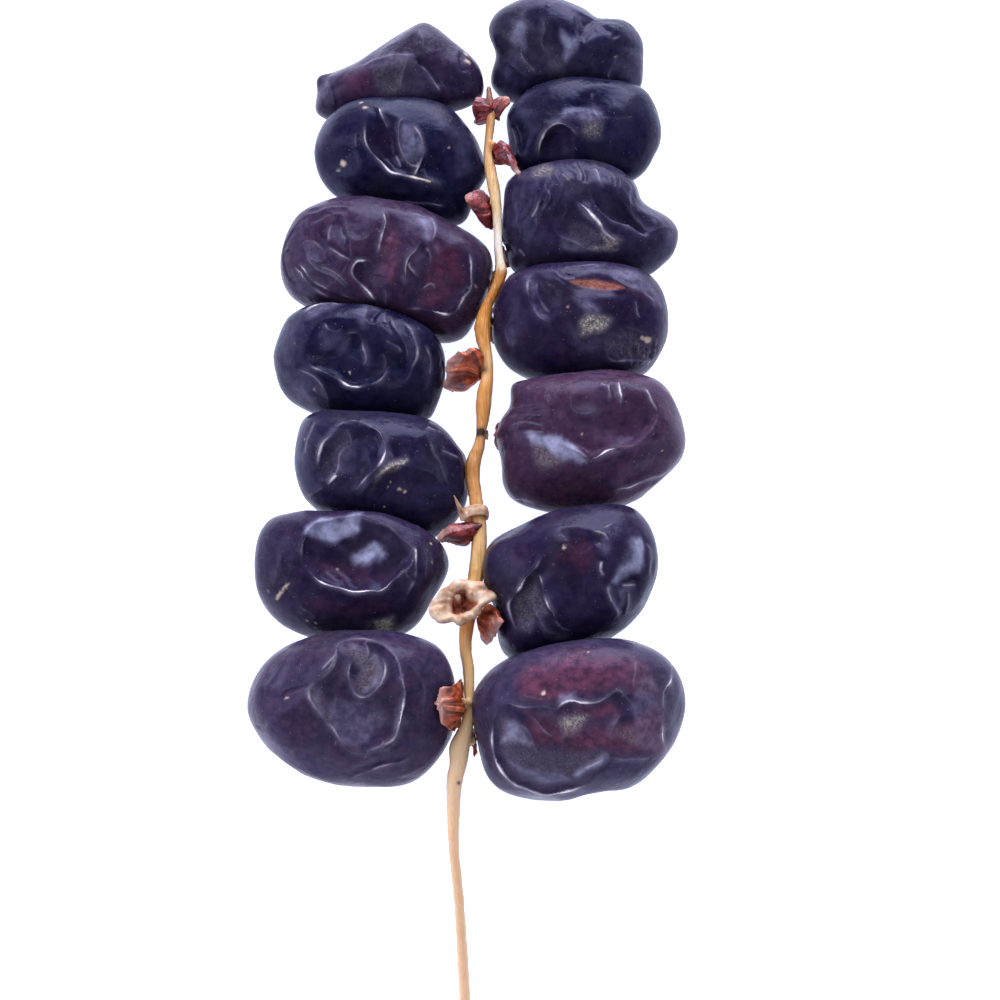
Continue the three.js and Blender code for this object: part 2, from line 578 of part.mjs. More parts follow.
const SKIN = new THREE.MeshStandardMaterial({ color: 0x1f1a2e, roughness: 0.38, metalness: 0 });
const CAP = new THREE.MeshStandardMaterial({ color: 0x9a4a2c, roughness: 0.5, metalness: 0 });
const DRY = new THREE.MeshStandardMaterial({ color: 0xcdb39a, roughness: 0.8, metalness: 0 });
const WOOD = new THREE.MeshStandardMaterial({ color: 0xd6a661, roughness: 0.6, metalness: 0 });

const strand = new THREE.Group();

function addPiece(name, geometry, material, middle) {
  const piece = new THREE.Mesh(geometry, material);
  piece.name = name;
  piece.position.copy(middle);
  strand.add(piece);
}

function addSolid(name, solid, material) {
  const { min, max } = solid.boundingBox();
  const middle = new THREE.Vector3(...min).add(new THREE.Vector3(...max)).multiplyScalar(0.5);
  addPiece(name, geometryOf(solid, middle), material, middle);
}

// Cuts a solid back from everything it must stay clear of.
function cutClear(solid, others) {
  return others.reduce((left, other) => left.subtract(other), solid);
}

// Plan the fruits and let each press on the ones next to it in its row.
const fruits = Object.entries(FRUITS).map(([name, data], index) => plannedFruit(name, data, index));
for (const row of ['left', 'right']) {
  const inRow = fruits.filter((fruit) => fruit.row === row);
  for (let i = 1; i < inRow.length; i++) {
    inRow[i - 1].neighbours.push(inRow[i]);
    inRow[i].neighbours.push(inRow[i - 1]);
  }
}
for (const fruit of fruits) addDents(fruit);

const stemClear = stemSolid(CLEARANCE);
addSolid('stem', stemSolid(), WOOD);

// A fruit in the second row is also cut clear of the first row, where it touches across the stem.
for (const fruit of fruits) {
  fruit.clear = solidOf(fruitGeometry(fruit, CLEARANCE), fruit.middle);
  const across = fruits.filter((other) => other.row !== fruit.row && other.index < fruit.index);
  const cuts = [stemClear, ...across.map((other) => other.clear)];
  const body = cutClear(solidOf(fruitGeometry(fruit), fruit.middle), cuts);
  addPiece(fruit.name, geometryOf(body, fruit.middle), SKIN, fruit.middle);
}

const capHulls = [];
Object.entries(CAPS).forEach(([name, cap], index) => {
  const own = fruits[index];
  const others = fruits.filter((fruit) => fruit !== own).map((fruit) => fruit.clear);
  const shell = solidOf(capGeometry(cap, own), capPlan(cap).neckEnd);
  const body = cutClear(shell, [stemClear, ...others, ...capHulls]);
  addSolid(name, body, CAP);
  capHulls.push(body.hull());
});

const keepClear = [stemClear, ...fruits.map((fruit) => fruit.clear), ...capHulls];
const cup = solidOf(emptyCapGeometry(), pointAt(EMPTY_CAP.at, EMPTY_CAP.height));
addSolid('empty_cap', cutClear(cup, keepClear), DRY);
addSolid('dry_collar', cutClear(collarSolid(), keepClear), DRY);

// The frame's origin is the middle of the strand's underside.
const bounds = new THREE.Box3().setFromObject(strand);
strand.position.set(-(bounds.min.x + bounds.max.x) / 2, -(bounds.min.y + bounds.max.y) / 2, -bounds.min.z);

export default strand;
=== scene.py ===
# %% [markdown]
# A strand of dark dates, as picked. The real one is a thin woody stem with fourteen fruits pressed
# side by side in two rows, each sitting in a small leathery flower cap. The solids of the frame
# already have every outline and every large dent. This lesson gives them skins, folds, fibres and
# colours, and it makes a finer piece in the place of each solid.

# %% Load the frame
import math

import bpy
import numpy as np
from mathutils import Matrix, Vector
from mathutils.bvhtree import BVHTree


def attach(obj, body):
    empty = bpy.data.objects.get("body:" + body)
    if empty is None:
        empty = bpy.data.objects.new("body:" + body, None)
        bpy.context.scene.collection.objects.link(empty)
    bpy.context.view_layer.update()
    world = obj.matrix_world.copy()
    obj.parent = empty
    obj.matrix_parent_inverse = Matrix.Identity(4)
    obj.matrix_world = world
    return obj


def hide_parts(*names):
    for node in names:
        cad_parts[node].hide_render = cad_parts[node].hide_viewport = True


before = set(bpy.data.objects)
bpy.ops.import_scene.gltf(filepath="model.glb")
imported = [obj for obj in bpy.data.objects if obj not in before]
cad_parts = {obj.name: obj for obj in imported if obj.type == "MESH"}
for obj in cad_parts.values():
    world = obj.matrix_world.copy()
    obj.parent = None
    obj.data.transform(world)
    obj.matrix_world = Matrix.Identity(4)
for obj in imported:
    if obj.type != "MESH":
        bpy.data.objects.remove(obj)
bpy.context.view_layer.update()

fruit_names = [f"date_{row}_{place}" for row in ("left", "right") for place in range(1, 8)]
cap_names = [name.replace("date", "cap") for name in fruit_names]

# %% [markdown]
# The folds of the skins are placed by where the photograph shows them, so the script needs the
# same view as a formula: from a place in the picture to a line of sight, and from a point back to
# a place. All making is done in millimetres, which keeps the numbers readable, and a mesh is
# turned to metres when it is finished.

# %% The picture's view
PICTURE_SIZE = 1000
MM_PER_PIXEL = 0.175
CAMERA_DISTANCE = 380.0
CAMERA_ELEVATION = math.radians(68)
AIM = np.array([4.51, -5.43, 11.0])
SENSOR_WIDTH = 36.0

sight = np.array([0, math.cos(CAMERA_ELEVATION), -math.sin(CAMERA_ELEVATION)])
picture_right = np.array([1.0, 0, 0])
picture_up = np.cross(picture_right, sight)
camera_place = AIM - sight * CAMERA_DISTANCE
focal_pixels = CAMERA_DISTANCE / MM_PER_PIXEL


def ray_to(place):
    """The direction in which the picture shows a place, given as across and down in pixels."""
    across = (place[0] - PICTURE_SIZE / 2) / focal_pixels
    up = (PICTURE_SIZE / 2 - place[1]) / focal_pixels
    ray = sight + picture_right * across + picture_up * up
    return ray / np.linalg.norm(ray)


def place_of(points):
    """Where the picture shows points, in pixels across and down."""
    seen = points - camera_place
    scale = focal_pixels / (seen @ sight)
    across = PICTURE_SIZE / 2 + (seen @ picture_right) * scale
    return np.stack([across, PICTURE_SIZE / 2 - (seen @ picture_up) * scale], axis=1)


camera_data = bpy.data.cameras.new("camera")
camera_data.sensor_width = SENSOR_WIDTH
camera_data.lens = SENSOR_WIDTH * focal_pixels / PICTURE_SIZE
camera_data.clip_start = 0.01
camera = bpy.data.objects.new("camera", camera_data)
bpy.context.scene.collection.objects.link(camera)
camera.location = Vector(camera_place) / 1000
camera.rotation_euler = (math.pi / 2 - CAMERA_ELEVATION, 0, 0)
bpy.context.scene.camera = camera
print("lens in millimetres:", round(camera_data.lens, 1))

# %% [markdown]
# A few helpers carry the materials. One turns a hex colour into the linear numbers that a shader
# works with. Another adds a node with its settings and links in one line, so that a material reads
# like a recipe. The rest are its usual steps, which find their tree from what they are given.

# %% Helpers for materials


def colour(code):
    """Linear red, green, blue and alpha of an sRGB hex colour."""
    parts = [int(code[i:i + 2], 16) / 255 for i in (1, 3, 5)]
    linear = [p / 12.92 if p <= 0.04045 else ((p + 0.055) / 1.055) ** 2.4 for p in parts]
    return (*linear, 1.0)


def feed(tree, node, **inputs):
    """Sets a node's inputs, by name or as i0, i1 and so on, to numbers, colours or links."""
    for key, value in inputs.items():
        index = int(key[1:]) if key[0] == "i" and key[1:].isdigit() else key.replace("_", " ")
        socket = node.inputs[index]
        if isinstance(value, bpy.types.NodeSocket):
            tree.links.new(value, socket)
        else:
            socket.default_value = value


def add(tree, kind, settings=None, **inputs):
    """Adds a node. Settings are its properties."""
    node = tree.nodes.new(kind)
    for name, value in (settings or {}).items():
        setattr(node, name, value)
    feed(tree, node, **inputs)
    return node


def new_material(name):
    """An empty material with its tree, its shader and its output."""
    material = bpy.data.materials.new(name)
    material.use_nodes = True
    tree = material.node_tree
    tree.nodes.clear()
    output = add(tree, "ShaderNodeOutputMaterial")
    shader = add(tree, "ShaderNodeBsdfPrincipled")
    tree.links.new(shader.outputs["BSDF"], output.inputs["Surface"])
    return material, tree, shader


def home(*values):
    """The tree of the first linked value."""
    return next(value.id_data for value in values if isinstance(value, bpy.types.NodeSocket))


def mix(share, first, second):
    """A colour mixed from two, by a share from 0 to 1."""
    tree = home(share, first, second)
    node = add(tree, "ShaderNodeMix", {"data_type": "RGBA"}, i0=share, i6=first, i7=second)
    return node.outputs[2]


def ramp(share, stops):
    """A colour ramp through the given stops, each a position and a hex colour."""
    node = add(home(share), "ShaderNodeValToRGB", Fac=share)
    elements = node.color_ramp.elements
    while len(elements) < len(stops):
        elements.new(0.5)
    for element, (position, code) in zip(elements, stops):
        element.position = position
        element.color = colour(code)
    return node.outputs["Color"]


def calc(operation, first, second=0.0, clamp=False):
    """One sum on one or two numbers."""
    settings = {"operation": operation, "use_clamp": clamp}
    return add(home(first, second), "ShaderNodeMath", settings, i0=first, i1=second).outputs[0]


def times(first, second, clamp=False):
    return calc("MULTIPLY", first, second, clamp)


def plus(first, second, clamp=False):
    return calc("ADD", first, second, clamp)


def attribute(tree, name):
    """The value of a mesh attribute."""
    return add(tree, "ShaderNodeAttribute", {"attribute_name": name}).outputs["Fac"]


# %% [markdown]
# The photograph is a bright studio shot, in which even the gaps between the fruits are white. The
# strand lies on a pale card that glows like a light table, so the shadows stay faint. Its light is
# bluish but too bright for the picture, which shows it white, and it gives the dark skins' rims
# their blue. A broad cool lamp low behind draws the sheen on the upper slopes, and a small one
# lights the left ends. No lamp stands near the camera, since it would shine back from the middle
# of every fruit, where the photograph shows them dark.

# %% Floor and light
FLOOR_HALF = 1.5
CARD_GLOW = 1.3
# From the ground up: the share of the way to straight overhead and the colour there.
SKY = [(0.0, "#f4f4ff"), (0.35, "#d8daff"), (0.7, "#a9aac6"), (1.0, "#a2a2ba")]


def pale_floor():
    mesh = bpy.data.meshes.new("floor")
    signs = [(-1, -1), (1, -1), (1, 1), (-1, 1)]
    mesh.from_pydata([(x * FLOOR_HALF, y * FLOOR_HALF, 0) for x, y in signs], [], [(0, 1, 2, 3)])
    floor = bpy.data.objects.new("floor", mesh)
    bpy.context.scene.collection.objects.link(floor)
    material, tree, shader = new_material("white card")
    feed(tree, shader, Base_Color=colour("#cbcbce"), Roughness=0.9,
         Emission_Color=colour("#dce2ff"), Emission_Strength=CARD_GLOW)
    mesh.materials.append(material)


def lamp(name, place, size, power, code):
    """A square lamp of a given size in metres, which looks at the middle of the strand."""
    data = bpy.data.lights.new(name, "AREA")
    data.shape = "SQUARE"
    data.size = size
    data.energy = power
    data.color = colour(code)[:3]
    light = bpy.data.objects.new(name, data)
    light.location = place
    light.rotation_euler = (-Vector(place)).to_track_quat("-Z", "Y").to_euler()
    bpy.context.scene.collection.objects.link(light)


pale_floor()
lamp("side lamp", place=(-0.75, 0.05, 0.5), size=0.5, power=3.8, code="#e8e6ff")
lamp("back lamp", place=(0.15, 0.85, 0.42), size=0.7, power=15, code="#e6e9ff")
world = bpy.data.worlds.new("pale surround")
bpy.context.scene.world = world
world.use_nodes = True
surround = world.node_tree
direction = add(surround, "ShaderNodeTexCoord").outputs["Generated"]
heading = add(surround, "ShaderNodeSeparateXYZ", Vector=direction)
sky = ramp(heading.outputs["Z"], SKY)
feed(surround, surround.nodes["Background"], Color=sky, Strength=1.0)
bpy.context.scene.view_settings.view_transform = "Standard"
print("card glow:", CARD_GLOW)

# %% [markdown]
# Meshes are handled as arrays of corners and faces. A solid of the frame is made of loose
# triangles, so a copy is merged and then subdivided, which rounds its facets off. A voxel remesh
# is used on the stem and the caps, where it also melts stalks and joints into one another.

# %% Helpers for meshes
MERGE_DISTANCE = 0.002


def mesh_from(name, corners, faces):
    """A mesh in millimetres from arrays."""
    mesh = bpy.data.meshes.new(name)
    mesh.from_pydata(corners.tolist(), [], faces.tolist() if hasattr(faces, "tolist") else faces)
    mesh.update()
    return mesh


def corners_of(mesh):
    values = np.empty(len(mesh.vertices) * 3)
    mesh.vertices.foreach_get("co", values)
    return values.reshape(-1, 3)


def normals_of(mesh):
    values = np.empty(len(mesh.vertices) * 3)
    mesh.vertices.foreach_get("normal", values)
    return values.reshape(-1, 3)


def edges_of(mesh):
    values = np.empty(len(mesh.edges) * 2, dtype=np.int64)
    mesh.edges.foreach_get("vertices", values)
    return values.reshape(-1, 2)


def move_corners(mesh, corners):
    mesh.vertices.foreach_set("co", corners.ravel())
    mesh.update()


def set_attribute(mesh, name, values):
    """Writes one number for each corner, which a material can read."""
    mesh.attributes.new(name, "FLOAT", "POINT").data.foreach_set("value", values.astype(np.float32))


def rays_at(mesh):
    """A search tree of a mesh's faces, which answers where a ray meets them."""
    faces = [tuple(face.vertices) for face in mesh.polygons]
    return BVHTree.FromPolygons(corners_of(mesh).tolist(), faces)


def working_object(mesh):
    """A passing object that carries a mesh through a modifier."""
    thing = bpy.data.objects.new("making", mesh)
    bpy.context.scene.collection.objects.link(thing)
    return thing


def result_of(thing):
    """The mesh that a passing object shows. The object is then removed."""
    shown = thing.evaluated_get(bpy.context.evaluated_depsgraph_get())
    result = bpy.data.meshes.new_from_object(shown)
    bpy.data.objects.remove(thing)
    return result


def evaluated(mesh, kind, **settings):
    """A new mesh after a modifier of one kind."""
    thing = working_object(mesh)
    modifier = thing.modifiers.new(kind, kind)
    for key, value in settings.items():
        setattr(modifier, key, value)
    return result_of(thing)


def smoothed(mesh, rounds, share=0.5):
    """The corners of a mesh, each moved some times towards the mean of its neighbours."""
    corners = corners_of(mesh)
    edges = edges_of(mesh)
    count = np.bincount(edges.ravel(), minlength=len(corners))[:, None]
    for _ in range(rounds):
        total = np.zeros_like(corners)
        np.add.at(total, edges[:, 0], corners[edges[:, 1]])
        np.add.at(total, edges[:, 1], corners[edges[:, 0]])
        corners += (total / count - corners) * share
    return corners


def solid_of(node):
    """A merged copy of a frame solid's mesh, in millimetres."""
    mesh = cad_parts[node].data.copy()
    mesh.materials.clear()
    move_corners(mesh, corners_of(mesh) * 1000)
    return evaluated(mesh, "WELD", merge_threshold=MERGE_DISTANCE)


# What the names of the finished pieces end with.
ENDINGS = ("_skin", "_rind", "_leather", "_husk")
# How fast the painted shade on a dry piece grows from its top to its flanks.
FLANK_SHADE_POWER = 0.6


def mark_flank_shade(mesh):
    """Writes how far each corner faces sideways, where rind and husk get painted shade."""
    upright = np.abs(normals_of(mesh) @ -sight)
    set_attribute(mesh, "flank", 1 - upright ** FLANK_SHADE_POWER)


def finish_piece(name, mesh, node):
    """Puts a finished mesh in the scene, in metres, in the place of a solid."""
    move_corners(mesh, corners_of(mesh) / 1000)
    mesh.polygons.foreach_set("use_smooth", [True] * len(mesh.polygons))
    piece = bpy.data.objects.new(name, mesh)
    bpy.context.scene.collection.objects.link(piece)
    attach(piece, "root")
    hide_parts(node)


print("solids in the frame:", len(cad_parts))

# %% [markdown]
# Shrivelled skin is uneven at several sizes at once. A sum of a few sine waves in random
# directions gives a smooth field of any size, cheap and the same on every run. It bends the fold
# lines, raises slow pillows and drives the fine wrinkles.

# %% Random fields


def waves(points, size, seed, count=7):
    """A smooth random field between about -1 and 1, whose bumps are about size millimetres wide."""
    random = np.random.default_rng(seed)
    total = np.zeros(len(points))
    for _ in range(count):
        direction = random.normal(size=3)
        direction *= math.pi / size * random.uniform(0.6, 1.4) / np.linalg.norm(direction)
        total += np.sin(points @ direction + random.uniform(0, 2 * math.pi))
    return total / math.sqrt(count)


def offsets(points, size, seed, axes=3):
    """A random field for each axis, side by side."""
    return np.stack([waves(points, size, seed + axis) for axis in range(axes)], axis=1)


def smooth_step(low, high, values):
    share = np.clip((values - low) / (high - low), 0, 1)
    return share * share * (3 - 2 * share)


# %% [markdown]
# A fruit's skin is a ball of six square grids pushed out from the middle of the solid until it
# meets the smoothed solid. An even grid of small squares holds folds much better than the long
# triangles that come from cutting, and its two sides stay closed by construction.

# %% Even grids for the skins
GRID_STEPS = 104


def ball(steps):
    """Directions and square faces of a ball made of six grids."""
    row = np.tan(np.linspace(-1, 1, steps + 1) * math.pi / 4)
    u, v = np.meshgrid(row, row, indexing="ij")
    points = []
    for axis in range(3):
        for sign in (1, -1):
            side = np.stack([np.full_like(u, sign), u, v * sign], axis=-1)
            points.append(np.roll(side, axis, axis=-1).reshape(-1, 3))
    points = np.concatenate(points)
    cell = np.arange((steps + 1) ** 2).reshape(steps + 1, steps + 1)
    corners = [cell[:-1, :-1], cell[1:, :-1], cell[1:, 1:], cell[:-1, 1:]]
    face = np.stack(corners, axis=-1).reshape(-1, 4)
    faces = np.concatenate([face + side * (steps + 1) ** 2 for side in range(6)])
    _, first, place = np.unique(np.round(points, 6), axis=0, return_index=True, return_inverse=True)
    directions = points[first] / np.linalg.norm(points[first], axis=1)[:, None]
    return directions, place.ravel()[faces]


ball_directions, ball_faces = ball(GRID_STEPS)
print("squares on each fruit:", len(ball_faces))

# %% [markdown]
# Where an outline still stood a few pixels off the photograph's, it is pulled there along the
# ground, as a thumb pulls clay: the move is full at one place and dies away round it. Each pull is
# a place, a radius in millimetres and how many pixels right and down. Fruits, caps and stem use it.

# %% Pull an outline
PULLS = {
    "date_left_1": [(473, 96, 3.0, 8, 4), (326, 108, 2.2, -7, 3), (424, 25, 2.0, 0, -3)],
    "date_left_2": [(481, 172, 3.0, 5, 2)],
    "date_right_2": [(524, 162, 3.0, -9, 7)],
    "date_right_3": [(513, 186, 3.0, -4, -3)],
    "date_right_5": [(517, 393, 2.0, -3, -6), (503, 404, 1.6, 4, 0)],
    "cap_left_1": [(474, 109, 9.0, 12, 1)],
    "cap_right_1": [(504, 106, 9.0, -5, 1)],
    "cap_right_2": [(521, 150, 2.2, -2, 26), (498, 173, 1.6, -7, -9), (496, 142, 1.6, 1, -6)],
    "cap_left_4": [(447, 381, 1.6, -3, 5), (465, 344, 1.6, 2, 6)],
    "cap_left_7": [(460, 705, 1.2, 6, 0), (444, 722, 1.3, -5, 3), (442, 688, 1.3, -3, -2),
                   (457, 736, 1.0, -1, -6)],
    "cap_left_6": [(471, 527, 1.8, 11, -4), (452, 553, 1.8, 2, -7), (437, 530, 1.8, 2, 12)],
    "cap_right_7": [(475, 757, 9.0, -2, -9)],
    "stem": [(501, 436, 1.7, -13, 0), (459, 702, 0.9, 4, 0), (458, 745, 2.6, -5, 0),
             (456, 785, 4.0, -3, 0)],
}


def pulled(name, corners):
    """Corners moved along the ground round the places named for a piece."""
    seen = place_of(corners)
    for across, down, radius, right, lower in PULLS.get(name, []):
        near = np.exp(-(np.linalg.norm(seen - (across, down), axis=1) * MM_PER_PIXEL / radius) ** 2)
        step = np.array([right, -lower / math.sin(CAMERA_ELEVATION), 0.0]) * MM_PER_PIXEL
        corners = corners + step * near[:, None]
    return corners


# %% [markdown]
# The triangles of a solid would show in the gloss, so it is subdivided first, then met by rays
# from its middle, and the grid laid on it is relaxed. The pointed fruits are relaxed less, or they
# would lose their points.

# %% Smooth skins
SMOOTHING_ROUNDS = 30
# Fruits with sharp corners get only this share of the rounds.
SHARP = {"date_left_1": 0.25, "date_right_1": 0.5, "date_right_3": 0.4}


def plain_skin(node):
    """The smooth skin of a fruit, before its folds."""
    solid = evaluated(solid_of(node), "SUBSURF", levels=2, render_levels=2)
    corners = corners_of(solid)
    tree = rays_at(solid)
    middle = (corners.min(axis=0) + corners.max(axis=0)) / 2
    points = np.empty_like(ball_directions)
    for index, direction in enumerate(ball_directions):
        points[index] = tree.ray_cast(middle, direction)[0]
    skin = mesh_from(node + "_skin", points, ball_faces)
    rounds = round(SMOOTHING_ROUNDS * SHARP.get(node, 1.0))
    move_corners(skin, pulled(node, smoothed(skin, rounds)))
    return skin, middle


print("outlines pulled:", len(PULLS), "fruits smoothed less:", len(SHARP))


# %% [markdown]
# The folds are what makes each date itself. A drying skin is too large for its flesh, so it sinks
# into pockets with a thin raised crest along the edge. Each fold below is a line drawn where the
# photograph shows the crest. The skin drops on one side of it, seen along the line, by depth, and
# comes back up over its reach. A ring is a closed pocket, which stays low inside. Pale is how strong
# the painted highlight along the crest is. Lengths are in millimetres and places in pixels.

# %% How a fold is written


def places(text):
    """Picture places written as across,down pairs."""
    return [tuple(float(number) for number in pair.split(",")) for pair in text.split()]


def fold(path, side="right", depth=0.5, reach=4.0, crest=0.18, pale=0.5, ring=False):
    """A line, the side that drops and by how much, how high the crest is and its painted highlight."""
    return {"path": places(path), "side": {"right": 1, "left": -1, "both": 0}[side],
            "depth": depth, "reach": reach, "crest": crest, "pale": pale, "ring": ring}


def ridge(path, pale=0.5, crest=0.14):
    """A crest alone, with its painted highlight."""
    return fold(path, "left", 0.0, 1.0, crest, pale)


def groove(path, depth=0.4, reach=0.8):
    """A dark crease that is sunk on both sides."""
    return fold(path, "both", depth, reach, 0.0, 0.0)


FOLDS = {}

# %% [markdown]
# The top left fruit has dried into a pointed wedge: a crest runs along the top of its flat facet,
# and a deep crease comes down from the point. The second is full and smooth, with one long pale
# crest beside an oval pocket.

# %% Folds of date left 1 and 2
FOLDS["date_left_1"] = [
    fold("362,69 372,62 380,58 396,54 415,55", "left", 0.3, 4, 0.3, 0.7),
    groove("416,56 423,63 430,72 437,80 443,88", 0.6, 0.9),
    ridge("421,63 428,73 436,85 441,92", 0.6, 0.2),
    ridge("428,64 438,76 446,90", 0.3, 0.1),
    fold("406,60 402,76 401,92", "right", 0.25, 4, 0.2, 0.3),
    fold("327,80 331,90 333,108", "left", 0.3, 2, 0.2, 0.25),
    fold("459,48 458,60 461,74", "left", 0.4, 3, 0.1, 0.2),
    ridge("420,28 424,40 422,52", 0.15, 0.2),
]
FOLDS["date_left_2"] = [
    fold("365,116 364,132 368,146 376,157 384,166 391,172 402,174 414,177 428,181 443,187",
         "left", 1.0, 6, 0.32, 0.9),
    ridge("368,145 376,157 384,166 391,172 402,174 416,178 430,181", 1.0, 0.12),
    fold("400,119 414,127 422,137 424,150 421,161 414,163 404,157 399,145 398,130",
         "right", 0.3, 3, 0.16, 0.6, True),
    ridge("422,138 424,152 420,163 415,176", 0.8, 0.18),
    groove("417,134 419,146 416,156", 0.3, 0.7),
    fold("380,106 383,117 388,129", "right", 0.35, 2, 0.2, 0.9),
    ridge("393,153 396,160 401,167", 0.5),
    ridge("355,131 355,140 358,148", 0.3, 0.1),
    ridge("424,165 427,172 429,180", 0.3, 0.1),
    fold("322,124 330,116 338,112", "left", 0.2, 3, 0.1, 0.3),
    fold("400,200 425,203 448,208", "left", 0.3, 3, 0.12, 0.5),
    fold("372,188 390,192 410,190", "right", 0.25, 4, 0.1, 0.1),
]

# %% [markdown]
# The third is the most wrinkled: creases run down to the right on its left half, and a long crest
# rounds its right end. On the fourth, two curved pockets face each other like brackets.

# %% Folds of date left 3 and 4
FOLDS["date_left_3"] = [
    fold("383,207 384,222 382,236 378,247 375,257", "left", 0.6, 4, 0.2, 0.8),
    fold("375,257 366,259 357,261 353,268 354,275 360,282 366,289 371,296 378,304",
         "left", 0.65, 5, 0.26, 1),
    fold("462,240 468,250 471,262 470,276 470,288 463,300 456,310 449,314 436,312 420,309 404,309",
         "right", 0.45, 6, 0.24, 0.9),
    ridge("470,270 470,286 463,300 455,311 447,314 436,312", 0.7, 0.12),
    fold("326,245 333,250 341,257 352,262", "left", 0.4, 2.4, 0.16, 0.8),
    fold("290,264 300,275 311,285 322,293 334,300", "left", 0.4, 2, 0.16, 0.6),
    fold("293,260 304,272 316,282 330,291 345,296 360,299", "right", 0.4, 1.6, 0.16, 0.7),
    fold("300,243 304,252 309,260 318,268 332,277 345,287 353,293", "right", 0.45, 2, 0.16, 0.4),
    fold("318,262 330,271 342,279 352,288", "right", 0.35, 1.6, 0.14, 0.5),
    fold("301,243 310,242 320,246 326,252 322,259 313,258 305,250", "left", 0.2, 2, 0.12, 0.4, True),
    fold("342,226 341,234 344,240 341,248", "left", 0.5, 1.4, 0.14, 0.4),
    fold("333,223 328,232 327,241", "right", 0.35, 2, 0.14, 0.5),
    fold("350,214 347,224 350,236 360,240 372,234", "left", 0.3, 3, 0.12, 0.3),
    fold("300,216 330,208 360,206", "left", 0.3, 2, 0.14, 0.3),
    fold("308,224 326,216 350,212", "left", 0.35, 2, 0.14, 0.3),
    fold("411,211 420,216 432,219 435,228 431,243", "right", 0.4, 3, 0.2, 0.5),
    fold("423,238 416,246 410,255 407,266 404,278 401,286", "left", 0.5, 3, 0.2, 0.6),
    ridge("407,266 405,276 402,285", 0.8, 0.16),
    fold("408,262 414,271 421,281", "right", 0.3, 2, 0.14, 0.5),
    fold("425,246 431,256 428,266", "right", 0.3, 2, 0.14, 0.4),
    ridge("422,290 430,284 435,291", 0.5),
    ridge("383,290 386,300 384,306", 0.5, 0.2),
    groove("386,240 388,256 396,268", 0.4, 2.2),
]
FOLDS["date_left_4"] = [
    fold("308,360 313,368 324,373 337,379 348,385 360,387 371,386 381,381 387,371 387,362",
         "left", 0.85, 5, 0.28, 0.8),
    ridge("316,370 326,374 337,379 348,385 360,387 371,386 381,381", 0.9, 0.12),
    fold("400,385 408,376 412,366 415,355 416,345 413,335 408,326 401,317", "left", 0.55, 3, 0.26, 0.8),
    fold("406,362 406,350 402,338 394,324 388,312", "left", 0.4, 2, 0.18, 0.4),
    fold("345,333 357,334 362,341 364,349 367,356 366,363 362,369", "right", 0.55, 4, 0.2, 0.6),
    ridge("364,348 367,355 367,362", 0.5, 0.14),
    fold("302,314 312,307 322,304 332,303 343,306", "right", 0.5, 3, 0.22, 0.7),
    groove("379,305 375,314 371,325", 0.6, 1.1),
    ridge("384,306 384,316 388,323", 0.5, 0.2),
    fold("364,302 366,312 362,320", "left", 0.4, 2, 0.18, 0.4),
    groove("309,353 320,354 344,353", 0.4, 0.9),
    fold("325,320 328,328 336,331 342,326", "left", 0.3, 1.4, 0.16, 0.5),
    fold("308,345 312,330 326,318 345,316", "right", 0.45, 4, 0.12, 0.1),
    fold("286,368 298,369 308,374 317,381 324,389 328,398 327,408", "right", 0.4, 4, 0.2, 0.45),
    ridge("385,340 391,343 397,347 401,353", 0.6),
    ridge("384,352 386,362 384,372", 0.3),
    fold("424,345 427,353 430,363 429,380", "right", 0.35, 2.4, 0.2, 0.6),
    fold("438,331 443,342 446,354", "left", 0.35, 1.6, 0.16, 0.4),
    groove("441,356 444,368 441,380", 0.3, 0.7),
]

# %% [markdown]
# The fifth has a deep round pocket at the left and a dome at the right. One big shallow bowl takes
# up the middle of the sixth, and its lower lip catches the light as a broken white line.

# %% Folds of date left 5 and 6
FOLDS["date_left_5"] = [
    fold("345,421 358,421 368,425 378,431 383,440 384,450 380,460 374,470 364,480 352,490",
         "right", 1.0, 5, 0.3, 0.9),
    ridge("345,420 358,421 368,425 378,431 383,440 384,448", 0.7, 0.14),
    fold("347,421 338,428 330,436 323,443 320,455 317,472", "left", 1.0, 4, 0.3, 0.9),
    fold("347,428 351,436 353,444 344,449 338,456 337,468 330,480 326,486", "right", 0.4, 3, 0.18, 0.4),
    ridge("337,473 331,480 326,486", 1.0, 0.2),
    ridge("347,428 351,436 353,444", 0.5, 0.1),
    ridge("325,486 316,492 308,498", 0.4),
    fold("354,500 364,489 376,478 388,470 400,467 416,469 430,475 440,484 447,496",
         "right", 0.65, 8, 0.5, 0.1),
    fold("432,437 434,450 440,462 444,475 450,489", "right", 0.4, 3, 0.16, 0.3),
    fold("440,450 450,456 459,458", "left", 0.3, 1.6, 0.16, 0.5),
    ridge("428,426 436,431 442,432", 0.6),
    fold("315,420 312,432 307,444 304,456", "right", 0.3, 2, 0.18, 0.35),
    ridge("384,442 389,452 394,461", 0.3, 0.2),
]
